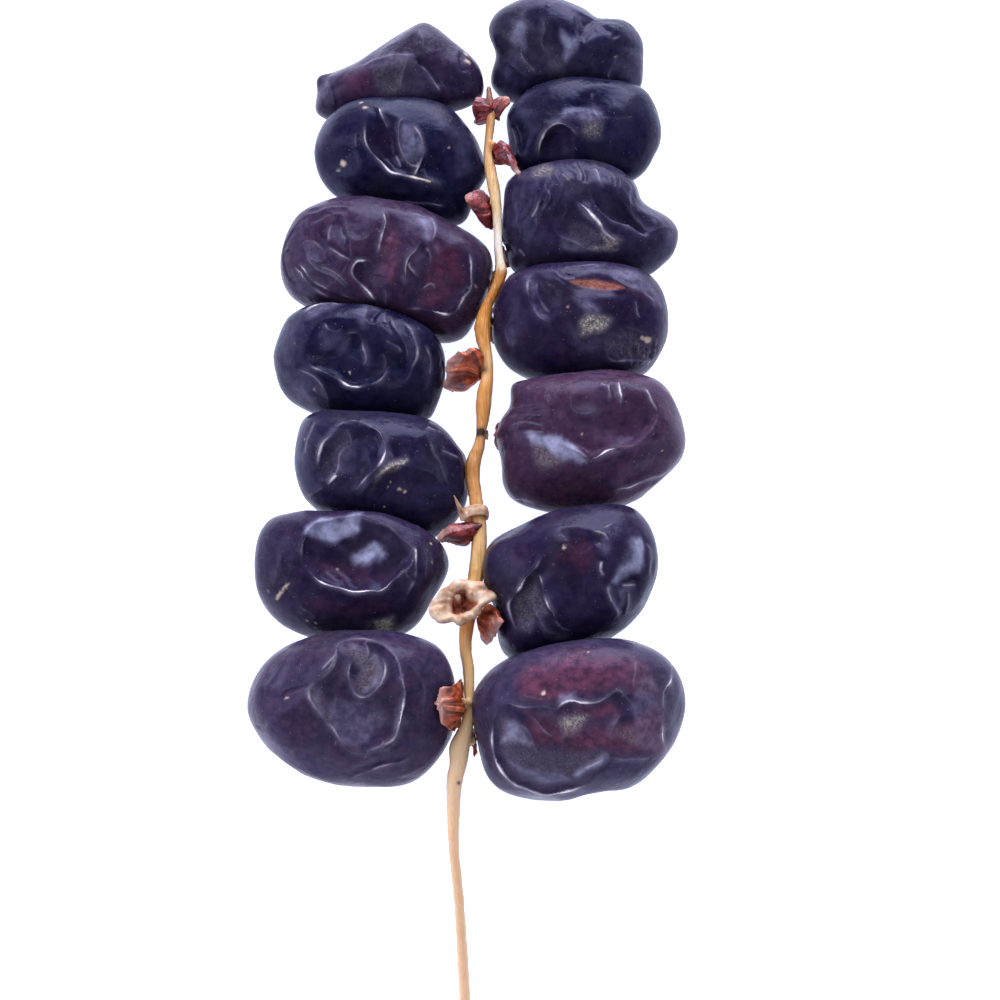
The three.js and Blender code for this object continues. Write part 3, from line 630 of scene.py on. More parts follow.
FOLDS["date_left_6"] = [
    fold("302,562 312,576 322,582 331,586 342,590 353,592 366,592 378,591 384,588 389,583 397,579 "
         "405,573 413,566 417,556 412,546 402,538 390,529 376,522 360,517 345,518 328,521 312,526 "
         "303,540", "left", 1.2, 5, 0.34, 0.4, True),
    ridge("306,572 318,580 331,586 342,590 353,592 366,592 378,591 385,587 391,582 400,577", 1.3, 0.16),
    ridge("331,586 342,590 353,592 366,592 378,591 385,587", 0.8, 0.08),
    ridge("414,545 417,553 418,562 418,572 415,579", 1.2, 0.16),
    ridge("416,578 409,588 404,597 402,604", 0.6, 0.2),
    fold("311,534 322,538 334,541 345,537 357,534", "right", 0.4, 3, 0.2, 0.4),
    fold("352,561 358,552 368,549 378,544", "left", 0.3, 2.4, 0.24, 0.3),
    ridge("380,545 382,553 387,559", 0.3),
    ridge("396,580 404,572 410,580", 0.4),
    fold("281,548 278,566 275,584", "left", 0.25, 3, 0.12, 0.2),
    fold("300,606 310,612 318,622", "left", 0.25, 3, 0.12, 0.3),
    fold("424,545 428,562 424,580", "right", 0.4, 2.6, 0.12, 0.3),
]

# %% [markdown]
# The lowest has the largest bowl, shaped like a kite, with a small hooked pocket in it, and a
# long fold under it.

# %% Folds of date left 7
FOLDS["date_left_7"] = [
    fold("393,652 399,662 402,676 404,690 404,702 402,714 399,726 396,738 388,744 376,748 364,752 "
         "353,754 346,750 340,741 333,731 326,721 317,712 309,702 308,692 316,683 326,677 333,668 "
         "336,655 338,644 350,640 370,640 384,645", "right", 0.65, 6, 0.24, 0.4, True),
    ridge("400,668 404,686 404,702 400,722 396,737 388,744 375,748", 0.9, 0.14),
    ridge("327,719 336,732 343,744 350,752 360,754 375,750", 0.9, 0.14),
    ridge("312,686 308,695 312,705 320,713 327,719", 0.7, 0.2),
    ridge("337,645 334,656 328,664 321,673", 0.5, 0.25),
    fold("353,652 350,664 350,678 352,690 358,697 366,697 374,692 380,684 383,672 382,660 376,652",
         "left", 0.45, 4, 0.22, 0.8),
    fold("363,636 366,650 360,662 364,671 370,668 373,658", "left", 0.25, 2, 0.14, 0.4),
    groove("357,667 356,677", 0.35, 1.2),
    ridge("351,702 352,720 356,740", 0.25, 0.16),
    ridge("340,690 336,704 340,718", 0.25, 0.12),
    fold("408,662 418,674 423,688 424,704 422,718", "right", 0.3, 3, 0.24, 0.4),
    fold("350,779 366,772 382,767 398,762 408,756 416,752", "left", 0.4, 3, 0.26, 0.9),
    groove("256,729 266,722 277,715", 0.3, 0.7),
    groove("282,695 298,689 311,684", 0.3, 0.7),
    fold("262,690 272,676 286,660", "right", 0.3, 4, 0.14, 0.3),
    fold("398,778 412,772 424,766", "right", 0.2, 3, 0.12, 0.3),
]

# %% [markdown]
# In the right row, upright valleys part the first fruit into lobes. The second has a small arched
# dent with a pale rim, like a doorway.

# %% Folds of date right 1 and 2
FOLDS["date_right_1"] = [
    groove("537,6 534,20 532,34 532,48 534,62 538,78", 0.9, 3),
    groove("579,26 583,42 579,58 574,76", 0.5, 2.2),
    ridge("520,48 524,58 530,66 536,77", 0.5, 0.3),
    fold("543,18 544,30 541,42 546,56", "left", 0.3, 2, 0.2, 0.2),
    fold("562,4 575,10 588,17 600,23", "right", 0.3, 3, 0.2, 0.3),
    groove("600,23 610,32 619,40", 0.6, 1.6),
    fold("613,84 609,74 613,64 622,55 636,48", "left", 0.6, 3, 0.26, 0.4),
    ridge("628,78 636,84 644,88", 0.2),
    fold("505,62 520,70 534,82", "right", 0.3, 3, 0.14, 0.2),
    ridge("548,8 556,2", 0.3),
]
FOLDS["date_right_2"] = [
    fold("537,161 538,150 541,140 547,131 555,125 562,123 570,126 576,132 580,139",
         "right", 1.1, 4.5, 0.34, 1.3),
    ridge("537,158 538,148 542,139 548,130", 0.4, 0.1),
    ridge("573,137 575,146 573,154", 0.25, 0.1),
    fold("547,121 562,114 578,111 592,112 600,120 602,132 599,142", "left", 0.35, 4, 0.3, 0.2),
    fold("591,92 592,104 596,112 600,118", "right", 0.35, 2, 0.2, 0.5),
    ridge("602,117 618,119 634,117", 0.12, 0.16),
    fold("510,124 516,142 521,158", "left", 0.3, 2.4, 0.2, 0.35),
    fold("586,142 610,144 630,140", "right", 0.2, 4, 0.12, 0.0),
]

# %% [markdown]
# The third has shrunk the most: two slanting valleys cut in from the upper right, and small
# wrinkles cover its left end. The fourth has a dry scar on top, a rough scab and two short dents.

# %% Folds of date right 3 and 4
FOLDS["date_right_3"] = [
    fold("574,198 577,201 585,208 592,216 599,224 604,231 613,239 620,244", "left", 1.2, 5, 0.34, 0.9),
    ridge("578,202 585,208 592,216 599,224", 1.0, 0.12),
    fold("590,188 593,198 600,208 614,219 630,227 646,236 656,241", "left", 1.5, 5, 0.3, 0.5),
    fold("620,192 626,204 634,214 644,224 652,233", "right", 1.3, 4, 0.26, 0.4),
    fold("646,232 660,228 674,227", "right", 0.3, 2.4, 0.2, 0.4),
    ridge("593,167 598,175 602,185", 0.8, 0.24),
    fold("631,184 629,198 633,214", "left", 0.4, 2, 0.2, 0.4),
    fold("606,172 612,184 616,200", "right", 0.35, 2, 0.18, 0.3),
    fold("532,173 542,170 554,170", "right", 0.3, 1.6, 0.2, 0.3),
    ridge("562,173 566,177 570,182", 0.5, 0.2),
    fold("541,198 538,208 534,216 529,220", "left", 0.45, 2, 0.24, 0.6),
    fold("546,186 550,196 546,206 541,214", "left", 0.4, 1.8, 0.2, 0.4),
    fold("527,182 522,194 520,206", "left", 0.35, 1.6, 0.18, 0.3),
    fold("516,200 517,212 515,224", "left", 0.3, 1.6, 0.18, 0.3),
    fold("563,178 560,192 556,206 550,220", "left", 0.4, 2.4, 0.2, 0.2),
    fold("551,220 556,230 562,238 574,244 588,249", "right", 0.35, 3, 0.24, 0.4),
    ridge("566,196 566,210 560,224", 0.25, 0.14),
    fold("511,245 516,254 514,262", "left", 0.3, 1.4, 0.2, 0.6),
    ridge("518,248 523,251 526,256", 0.8, 0.2),
    fold("588,249 604,252 622,249", "left", 0.3, 2.4, 0.2, 0.4),
    fold("575,160 580,172 580,186", "left", 0.35, 1.8, 0.18, 0.3),
]
FOLDS["date_right_4"] = [
    groove("574,283 590,286 606,289 622,289", 0.25, 0.6),
    fold("526,276 527,290 530,304 540,315 553,324", "left", 0.55, 3.5, 0.3, 0.5),
    fold("535,280 537,293 543,304 552,313", "left", 0.3, 2, 0.18, 0.4),
    fold("604,346 606,338 616,332 630,328 645,332 655,342 658,352 650,360 636,362 622,361 610,358",
         "right", 0.25, 1.2, 0.2, 0.2, True),
    ridge("603,347 606,355 612,359 624,361 638,362 650,360 658,351", 0.45, 0.16),
    fold("572,295 584,300 594,306 602,313", "right", 0.4, 3, 0.3, 0.5),
    fold("578,334 592,336 606,333 612,322", "right", 0.25, 3, 0.2, 0.1),
    fold("562,268 580,266 602,264", "right", 0.25, 1.6, 0.2, 0.4),
    fold("556,272 566,279 578,279", "left", 0.25, 1.4, 0.16, 0.3),
    fold("608,276 624,284 642,292 658,304", "left", 0.3, 2, 0.2, 0.2),
    fold("512,318 506,330 508,346", "left", 0.2, 3, 0.16, 0.3),
    ridge("635,300 636,310 640,318", 0.4),
]

# %% [markdown]
# The fifth has a wide bowl whose lower edge is a blunt V, and fine pleats at its left end. The
# sixth has a leaf-shaped pocket between two crests and a pinched hollow at the right.

# %% Folds of date right 5 and 6
FOLDS["date_right_5"] = [
    fold("544,384 547,400 553,418 560,432 569,444 579,453 589,459 600,455 612,450 626,446 641,440 "
         "651,430 656,418 655,406 650,397 640,385", "left", 1.1, 7, 0.2, 0.15),
    ridge("590,458 600,455 612,450 621,449", 1.0, 0.2),
    ridge("621,449 632,446 645,441", 0.4, 0.14),
    ridge("560,437 569,446 580,453 589,459", 0.5, 0.2),
    groove("566,463 578,461 589,460 602,460", 0.35, 0.9),
    ridge("641,386 648,394 653,403 656,413", 0.7, 0.16),
    fold("609,383 611,393 608,403", "left", 0.3, 2, 0.2, 0.6),
    fold("620,381 620,392 619,405", "left", 0.3, 2, 0.26, 0.9),
    fold("600,382 606,386", "left", 0.2, 2, 0.2, 0.6),
    fold("608,492 626,487 640,481 654,476 670,471", "right", 0.35, 3, 0.28, 0.8),
    fold("509,496 522,498 536,503", "right", 0.35, 3, 0.24, 0.6),
    fold("509,411 524,406 538,404", "left", 0.3, 1.4, 0.18, 0.3),
    fold("507,419 524,415 542,414", "left", 0.3, 1.4, 0.18, 0.3),
    fold("506,427 524,423 546,425", "left", 0.3, 1.6, 0.18, 0.35),
    fold("519,438 532,433 546,432", "left", 0.3, 2, 0.2, 0.3),
    groove("505,430 507,440 504,450", 0.3, 0.9),
    fold("570,390 572,404 580,412 596,412", "left", 0.25, 3, 0.16, 0.2),
]
FOLDS["date_right_6"] = [
    fold("543,552 538,564 532,571 525,579 519,589 513,597 509,604 511,614 514,624 518,633",
         "left", 0.9, 4, 0.34, 1.0),
    ridge("536,566 528,576 520,588 512,599", 0.5, 0.1),
    fold("538,572 541,582 544,592 548,602 552,612 558,620", "right", 0.7, 3, 0.32, 1.0),
    fold("533,586 533,600 536,614 542,625 552,632 568,636", "right", 0.35, 2.4, 0.2, 0.4),
    ridge("555,618 564,627 575,632", 0.4),
    fold("555,540 558,532 566,529 582,528 598,532 606,539 609,551", "right", 0.5, 6, 0.2, 0.3),
    ridge("590,530 598,532 605,537 609,546", 0.5),
    ridge("557,535 566,529 577,530", 0.4),
    groove("598,548 602,543", 0.4, 1.2),
    ridge("602,559 602,569 606,577", 0.7, 0.2),
    fold("640,532 641,546 640,560 636,570", "left", 0.35, 3, 0.28, 0.5),
    fold("638,566 628,570 620,574 615,578", "left", 0.9, 1.6, 0.26, 0.5),
    groove("618,582 628,580 638,576", 0.8, 1.3),
    fold("622,587 630,586 637,584", "left", 0.2, 1.6, 0.3, 0.8),
    fold("630,588 629,602 624,617", "right", 0.4, 2, 0.24, 0.7),
    fold("611,582 610,594 614,606 621,617", "left", 0.4, 2.4, 0.2, 0.6),
    fold("646,540 650,556 648,576", "left", 0.25, 2.4, 0.16, 0.3),
    fold("584,576 582,592 588,604", "right", 0.2, 4, 0.1, 0.1),
    ridge("602,528 610,524 616,521", 0.4, 0.2),
]

# %% [markdown]
# A wavy crest crosses the last one, a second line follows its lower edge, and a third stands
# at its right end.

# %% Folds of date right 7
FOLDS["date_right_7"] = [
    fold("500,706 508,704 520,706 532,707 545,707 554,709 558,706 564,702 572,700 582,702 594,702 "
         "602,699 610,694 618,691 624,694 629,702 634,714", "right", 0.9, 5, 0.34, 1.1),
    ridge("556,708 562,703 572,700 582,702 594,702 602,699 612,693", 0.6, 0.1),
    ridge("622,693 629,702 634,713", 0.9, 0.16),
    fold("500,706 496,716 493,728 492,742 494,756 500,770 512,781 526,788 542,793 556,793 572,789 "
         "588,783 600,775 611,767", "left", 0.6, 5, 0.28, 0.9),
    ridge("530,790 545,793 560,792 574,788 588,783 602,774", 0.5, 0.12),
    fold("670,662 670,678 665,690 662,704 662,720 662,734 664,746 668,753", "left", 0.45, 4, 0.26, 0.8),
    fold("574,777 584,769 594,763 606,757", "right", 0.3, 2, 0.26, 0.8),
    fold("610,758 630,760 652,757", "right", 0.3, 3, 0.18, 0.4),
    fold("512,722 524,730 532,742 540,756", "left", 0.3, 2.4, 0.24, 0.4),
    ridge("528,716 536,724 544,731 557,737", 0.4, 0.16),
    fold("619,712 614,722 611,734 613,746", "left", 0.35, 3, 0.24, 0.4),
    ridge("518,694 534,698 548,700", 0.3, 0.1),
    fold("560,718 566,730 562,740", "left", 0.2, 2, 0.12, 0.2),
    fold("636,656 634,674 636,692", "right", 0.2, 3, 0.12, 0.3),
    groove("536,690 546,688", 0.2, 1.4),
]
print("folds drawn from the picture:", sum(len(rows) for rows in FOLDS.values()))

# %% [markdown]
# To press a fold into a skin, its line is first laid on the skin along the lines of sight. Then
# every corner of the grid near it asks how far it is from the line and on which side. The crest is
# a sharp cusp of that distance, and the sunk side is a smooth step down and back up. The distance
# stays on the skin, below nought above the crest, so that the material can draw the painted
# highlight along the crest thinner than the grid. The sides that the photograph hides get folds too,
# as lines that wander.

# %% Press the folds in
CURVE_STEPS = 12
LINE_STEP = 0.5
CREST_WIDTH = 0.4
CREST_FLANK = 1.1
WALL_WIDTH = 0.75
FAR = 4.0
WOBBLE = 0.22
WOBBLE_SIZE = 3.0
DEEPEST = -2.6
HIDDEN_COUNT = 11
SHOWN_FROM = 0.25
WANDER_STEP = 0.07


def curve_through(points, closed):
    """A smooth line through some points, as evenly spaced points."""
    points = np.array(points, dtype=float)
    before, after = 2 * points[:1] - points[1:2], 2 * points[-1:] - points[-2:-1]
    if closed:
        before, after = points[-1:], points[:2]
    padded = np.concatenate([before, points, after])
    parts = []
    for i in range(1, len(padded) - 2):
        a, b, c, d = padded[i - 1:i + 3]
        t = np.linspace(0, 1, CURVE_STEPS, endpoint=False)[:, None]
        parts.append(0.5 * (2 * b + (c - a) * t + (2 * a - 5 * b + 4 * c - d) * t ** 2
                            + (3 * b - a - 3 * c + d) * t ** 3))
    parts.append(padded[-2:-1])
    line = np.concatenate(parts)
    lengths = np.concatenate([[0], np.cumsum(np.linalg.norm(np.diff(line, axis=0), axis=1))])
    steps = np.linspace(0, lengths[-1], max(int(lengths[-1] / (LINE_STEP / MM_PER_PIXEL)), 4))
    return np.stack([np.interp(steps, lengths, line[:, k]) for k in range(line.shape[1])], axis=1)


def laid_on(tree, path, closed):
    """A line of picture places as points on a skin."""
    origin = Vector(camera_place)
    hits = [tree.ray_cast(origin, Vector(ray_to(place)))[0] for place in curve_through(path, closed)]
    return np.array([hit for hit in hits if hit is not None])


def nearest_on_line(points, normals, line):
    """For each point: its distance to a line, its side of it, and how far along it is nearest."""
    best = np.full(len(points), np.inf)
    side = np.zeros(len(points))
    along = np.zeros(len(points))
    count = len(line) - 1
    for i in range(count):
        start = line[i]
        step = line[i + 1] - start
        share = np.clip((points - start) @ step / (step @ step), 0, 1)
        offset = points - start - share[:, None] * step
        distance = np.einsum("ij,ij->i", offset, offset)
        nearer = distance < best
        best[nearer] = distance[nearer]
        rightward = np.cross(step, normals[nearer])
        side[nearer] = np.sign(np.einsum("ij,ij->i", rightward, offset[nearer]))
        along[nearer] = (i + share[nearer]) / count
    return np.sqrt(best), side, along


def fold_shape(row, distance, side, along, uneven):
    """How far a fold moves the skin, its crest's painted highlight, and the distance, negative above it.
    """
    ends = 1.0 if row["ring"] else smooth_step(0, 0.2, along) * smooth_step(0, 0.2, 1 - along)
    share = ends * (0.8 + 0.3 * uneven)
    lower = (side == row["side"]) | (row["side"] == 0)
    crest = np.exp(-distance / np.where(lower, CREST_WIDTH, CREST_FLANK)) * share
    sunk = 1 - np.exp(-(distance / WALL_WIDTH) ** 1.4)
    if row["side"] == 0:
        sunk = 1 - smooth_step(0, 1, distance / row["reach"])
    elif not row["ring"]:
        sunk *= 1 - smooth_step(0.2, 1, distance / row["reach"])
    height = crest * row["crest"] - sunk * row["depth"] * share * lower
    patchy = np.clip(0.75 + 0.45 * uneven, 0.2, 1.2)
    pale = row["pale"] * ends * patchy * (1 - smooth_step(0.6, 1.4, distance))
    return height, pale, distance * np.where(lower, 1, -1)


def hidden_folds(tree, middle, random):
    """Folds on the sides that the picture doesn't show, as lines wandering over the skin."""
    rows = []
    while len(rows) < HIDDEN_COUNT:
        heading = random.normal(size=3)
        heading /= np.linalg.norm(heading)
        if heading @ -sight > SHOWN_FROM:
            continue
        turn = np.cross(heading, random.normal(size=3))
        bend = random.uniform(-0.25, 0.25)
        line = []
        for _ in range(random.integers(8, 22)):
            line.append(tree.ray_cast(Vector(middle), Vector(heading))[0])
            turn = turn + np.cross(heading, turn) * bend
            turn *= WANDER_STEP / np.linalg.norm(turn)
            heading = heading + turn
            heading /= np.linalg.norm(heading)
        depth, pale = random.uniform(0.3, 0.8), random.uniform(0.1, 0.6)
        row = fold("", "right", depth, random.uniform(2.5, 5), 0.2, pale)
        rows.append((row, np.array(line)))
    return rows


def press_folds(name, skin, tree, middle, seed):
    """How far its folds move a skin's corners, the painted highlight of the nearest crest, and its
    distance.
    """
    corners = corners_of(skin)
    normals = normals_of(skin)
    asked = corners + offsets(corners, WOBBLE_SIZE, seed * 31) * WOBBLE
    uneven = waves(corners, 2.5, seed * 31 + 3)
    toward = normals @ -sight
    shown = smooth_step(-0.4, -0.2, toward)
    hidden = 1 - smooth_step(-0.4, -0.1, toward)
    rows = [(row, laid_on(tree, row["path"], row["ring"]), shown) for row in FOLDS[name]]
    rows += [(*pair, hidden) for pair in hidden_folds(tree, middle, np.random.default_rng(seed))]
    height = np.zeros(len(corners))
    pale = np.zeros(len(corners))
    away = np.full(len(corners), FAR)
    nearness = np.zeros(len(corners))
    for row, line, share in rows:
        if len(line) < 3:
            continue
        centre = line.mean(axis=0)
        radius = np.linalg.norm(line - centre, axis=1).max() + max(row["reach"], 4 * CREST_FLANK)
        near = (np.linalg.norm(asked - centre, axis=1) < radius) & (share > 0)
        nearest = nearest_on_line(asked[near], normals[near], line)
        rise, crest, apart = fold_shape(row, *nearest, uneven[near])
        height[near] += rise * share[near]
        crest *= share[near]
        weight = crest * np.exp(-np.abs(apart) * 2)
        nearer = weight > nearness[near]
        chosen = np.flatnonzero(near)[nearer]
        nearness[chosen] = weight[nearer]
        pale[chosen] = crest[nearer]
        away[chosen] = apart[nearer]
    return np.maximum(height, DEEPEST), pale, away


# %% [markdown]
# Between the folds the skin is not plain either. Slow pillows a few millimetres wide cover all of
# it, and some stretches are finely pleated. The photograph also shows where the skin is maroon
# instead of blue-black, where it is dulled by wax, where beige dust or a dry scar sits on it, and
# where highlights and sandy glints fall, which are painted as pale and beige patches. Each is a
# patch with a kind, a strength and an outline of places, soft and wandering at its edge.

# %% How a patch is written


def patches(table):
    """A list of patches from lines that each say a kind, a strength and an outline."""
    rows = [line.split(maxsplit=2) for line in table.strip().split("\n")]
    return [(kind, float(strength), places(outline)) for kind, strength, outline in rows]


PATCHES = {}

# %% [markdown]
# The pale patches are wax where nothing rubs it off, in the pockets and just above the crests, and
# painted highlights on slopes that face the lamps. The beige patches are dust in the same pockets
# and painted sandy glints on saddles. In this row the third fruit has the most maroon.

# %% Patches of the left row
PATCHES["date_left_1"] = patches("""
bloom 0.45 370,66 384,57 398,53 414,55 403,66 388,68
dust 0.35 380,64 410,58 404,74 402,93 382,94 374,80
bloom 0.2 410,60 420,63 440,90 438,97 415,97 404,88
bloom 0.35 320,80 330,80 332,96 328,104 322,98
maroon 0.8 340,72 370,66 378,92 336,100
bloom 0.2 416,26 428,28 436,50 418,50
""")
PATCHES["date_left_2"] = patches("""
bloom 0.75 401,120 414,127 421,136 423,148 419,160 411,162 404,157 400,145 399,130
maroon 0.45 370,132 392,128 398,160 388,166 376,154
bloom 0.22 430,112 452,126 466,142 471,160 464,176 452,176 460,156 446,134
bloom 0.25 314,142 322,124 336,116 334,128 324,148
bloom 0.25 328,180 344,184 352,196 338,196
dust 0.3 414,175 440,181 442,187 424,183
""")
PATCHES["date_left_3"] = patches("""
bloom 0.4 305,243 312,243 320,252 322,260 313,258
bloom 0.4 334,224 341,226 342,242 327,242
bloom 0.25 348,226 368,214 373,228 358,240 347,238
bloom 0.8 411,211 420,215 433,218 434,228 430,243 424,240 421,226
bloom 0.5 432,248 440,246 439,255 434,255
bloom 0.5 402,274 407,276 406,285 402,286
bloom 0.3 410,250 420,246 424,256 414,262
bloom 0.35 382,289 391,292 390,302 384,303
bloom 0.3 290,266 302,278 318,292 314,300 300,290 288,276
dust 0.14 358,260 376,258 382,272 370,280 358,272
maroon 0.95 384,210 392,216 402,236 404,262 396,284 380,284 374,262 380,240
maroon 0.9 436,240 464,250 468,284 446,308 410,306 420,282
maroon 0.45 330,244 360,250 352,262 366,290 350,286 332,262
""")
PATCHES["date_left_4"] = patches("""
bloom 0.7 302,314 312,305 326,301 343,302 344,306 326,309 314,315
bloom 0.45 365,301 378,303 372,316 364,326 358,316
bloom 0.3 321,334 350,334 344,352 330,352 322,346
bloom 0.28 285,372 305,373 318,384 326,398 322,412 308,411 292,396
bloom 0.25 282,326 300,320 298,356 286,366 278,346
bloom 0.35 363,347 369,352 369,362 364,366
dust 0.25 384,381 396,380 401,386 388,388
bloom 0.35 423,344 428,348 431,366 428,386 424,372
dust 0.3 308,356 316,355 328,357 318,361
bloom 0.3 410,340 417,338 417,352 412,360
""")
PATCHES["date_left_5"] = patches("""
bloom 0.55 322,444 328,434 338,427 341,430 332,439 325,445
dust 0.24 326,446 346,432 352,444 344,460 336,478 322,484 318,462
bloom 0.4 340,452 352,446 354,462 346,474 338,470
bloom 0.5 382,436 386,442 391,456 384,466 380,456
dust 1.2 374,479 384,466 396,458 409,463 397,467 386,473
bloom 0.3 356,494 374,480 378,484 362,498
bloom 0.3 298,450 303,430 312,424 308,444 303,466
maroon 0.35 384,472 410,470 430,480 420,500 390,500 376,486
bloom 0.3 432,446 438,462 446,480 440,476 432,460
""")
PATCHES["date_left_6"] = patches("""
bloom 2.0 305,531 312,524 330,520 350,517 361,516 357,524 356,534 345,537 335,541 322,538 312,534
dust 0.45 334,522 352,519 352,532 340,536
bloom 1.8 352,560 356,552 366,549 372,545 379,544 381,552 386,559 375,557 366,560 356,563
dust 1.5 375,623 391,618 392,630 377,631
dust 0.6 366,626 371,624 370,632 366,632
maroon 0.6 306,556 340,552 390,566 400,576 380,588 340,586 312,574
maroon 0.6 300,590 340,596 396,592 392,614 340,622 300,612
dust 0.2 421,542 432,552 432,572 422,570
bloom 0.3 400,538 414,548 416,556 404,548
bloom 0.25 272,560 280,556 276,586 270,584
""")
PATCHES["date_left_7"] = patches("""
bloom 0.55 308,690 316,684 321,698 330,714 322,718 311,704
bloom 0.75 374,652 381,657 383,672 378,685 368,693 364,686 372,676 374,664
dust 0.5 348,652 356,646 376,654 383,668 378,684 366,692 354,688 360,672
dust 0.32 308,690 318,686 328,704 340,726 332,732 316,714
dust 0.28 348,748 372,750 392,738 402,716 404,730 394,748 366,758 350,756
bloom 0.6 350,680 356,690 366,695 364,699 354,696 348,688
bloom 0.3 342,652 350,650 350,676 344,684 338,680
bloom 0.45 366,712 380,706 386,716 382,728 370,731 364,724
bloom 0.4 262,684 276,667 291,654 293,662 282,677 268,692
bloom 0.35 260,731 272,736 288,748 296,760 284,757 266,742
bloom 0.2 318,690 330,684 336,712 326,712
bloom 0.55 332,704 350,700 366,706 376,716 372,738 350,748 334,738
bloom 0.4 362,750 388,744 396,738 399,728 402,736 392,748 370,754
bloom 0.25 416,676 424,690 424,712 418,716 418,694
maroon 0.55 262,704 300,704 330,738 330,768 296,760 268,736
maroon 0.4 330,764 400,770 420,772 380,784 330,782
maroon 0.3 404,700 418,700 420,730 402,740
""")
print("patches on the left row:", sum(map(len, PATCHES.values())))

# %% [markdown]
# In the right row the fourth fruit has a reddish scar, which is dry skin without wax, and a rough
# scab. The fifth and the last are maroon where light passes into the flesh.

# %% Patches of the right row
# Pale patches here are wax and painted highlights, and beige ones are dust and painted glints.
PATCHES["date_right_1"] = patches("""
bloom 0.9 513,18 524,18 527,34 522,48 514,40 511,28
bloom 0.9 560,26 570,30 577,38 575,52 566,60 563,44
dust 0.2 546,44 556,54 566,58 562,74 552,74 547,60
dust 0.22 541,18 548,22 549,32 542,31
bloom 0.45 563,4 577,10 592,18 586,20 570,13
bloom 0.3 612,66 624,56 640,50 645,70 640,90 620,78
dust 0.18 516,50 524,52 532,66 526,70 518,62
""")
PATCHES["date_right_2"] = patches("""
bloom 0.75 546,123 560,114 578,110 592,111 596,118 584,121 566,119 556,123
dust 0.6 582,123 592,117 600,122 601,136 590,140 582,136
dust 0.3 538,150 541,139 548,129 556,124 552,132 544,142 541,156
maroon 0.35 546,138 556,127 568,127 574,140 570,154 548,154
bloom 0.25 520,110 534,110 532,117 521,117
""")
PATCHES["date_right_3"] = patches("""
dust 1.0 600,230 612,238 622,243 612,251 600,251 586,250 592,246 606,245
bloom 0.6 560,236 572,240 586,246 582,251 566,249
bloom 0.8 578,202 586,208 594,217 600,225 592,220 584,212
dust 0.85 533,170 548,168 554,171 546,174 534,175
dust 0.35 562,173 570,176 570,181 563,179
bloom 0.45 666,227 679,226 679,240 673,246 667,240
bloom 0.5 591,166 597,170 603,180 603,187 598,180
bloom 0.4 530,218 536,206 541,200 540,212 534,220
bloom 0.3 604,210 620,220 636,228 628,230 612,222
bloom 0.5 510,248 516,250 517,258 512,256
dust 0.3 572,222 590,224 604,234 600,248 584,246 570,236
maroon 0.35 560,205 578,208 598,232 590,242 566,236 554,222
""")
PATCHES["date_right_4"] = patches("""
scar 1.15 571,282 588,280 604,282 624,288 606,289 590,287
scar 0.06 620,286 638,290 658,302 640,297
rough 1.0 604,349 610,338 620,333 635,332 650,335 657,345 655,355 645,362 630,363 615,361
rough 0.5 578,322 590,315 604,316 610,321 604,333 590,333 578,332
bloom 0.55 613,268 630,271 645,278 658,290 667,306 656,302 640,290 622,282 612,276
bloom 0.5 578,270 600,266 601,272 580,275
bloom 0.45 527,277 534,277 537,290 533,297 528,288
bloom 0.3 532,305 542,314 553,322 548,325 536,316
bloom 0.9 573,296 584,300 595,306 601,313 592,316 583,308
dust 0.95 578,322 590,315 604,316 610,321 604,333 590,333 578,332
bloom 0.3 566,324 577,332 580,341 574,342 568,334
bloom 0.25 580,338 600,338 600,351 582,352
bloom 0.4 507,326 513,330 514,344 508,344
dust 0.3 610,336 630,330 645,334 655,343 657,352 648,360 628,361 612,358 605,350
maroon 0.45 512,318 540,324 570,336 596,352 570,362 520,358
""")
PATCHES["date_right_5"] = patches("""
bloom 1.7 526,434 545,432 560,436 568,446 580,453 589,460 570,461 560,458 544,448 532,446
dust 0.6 534,446 548,450 566,460 562,467 548,468 536,460
bloom 0.8 590,459 600,455 612,449 620,448 618,452 604,457
bloom 0.45 574,404 590,402 600,408 594,415 578,414
bloom 0.5 600,383 607,383 607,388 601,388
bloom 0.6 618,382 624,383 622,402 617,403
bloom 0.6 511,496 524,496 537,502 530,506 516,501
bloom 0.25 640,444 660,436 672,432 668,446 650,458
maroon 0.75 508,440 526,446 544,466 566,470 560,484 520,482 508,462
maroon 0.6 626,386 640,386 650,404 650,424 632,424 624,404
maroon 0.55 560,388 600,384 640,430 600,448 566,434 552,412
maroon 0.6 566,470 600,464 640,452 660,450 640,480 600,488 566,486
""")
PATCHES["date_right_6"] = patches("""
bloom 0.6 540,623 552,630 567,634 571,637 560,641 548,638
dust 0.4 514,604 524,586 536,574 540,590 548,616 536,622 530,634 516,628
bloom 0.55 597,540 606,537 609,546 606,554 600,552
dust 0.2 632,542 640,548 638,564 628,572 620,574 630,562
bloom 1.7 634,538 642,544 642,562 636,572 624,577 614,581 616,572 626,565 631,554
bloom 0.65 622,587 636,585 631,594 629,606 626,600
bloom 0.5 611,582 618,586 616,598 621,613 614,608 610,596
bloom 0.35 556,532 566,529 570,532 562,540 557,540
maroon 0.5 500,545 530,540 536,556 520,576 502,566
maroon 0.75 560,540 592,536 600,560 590,576 566,572 552,560
""")
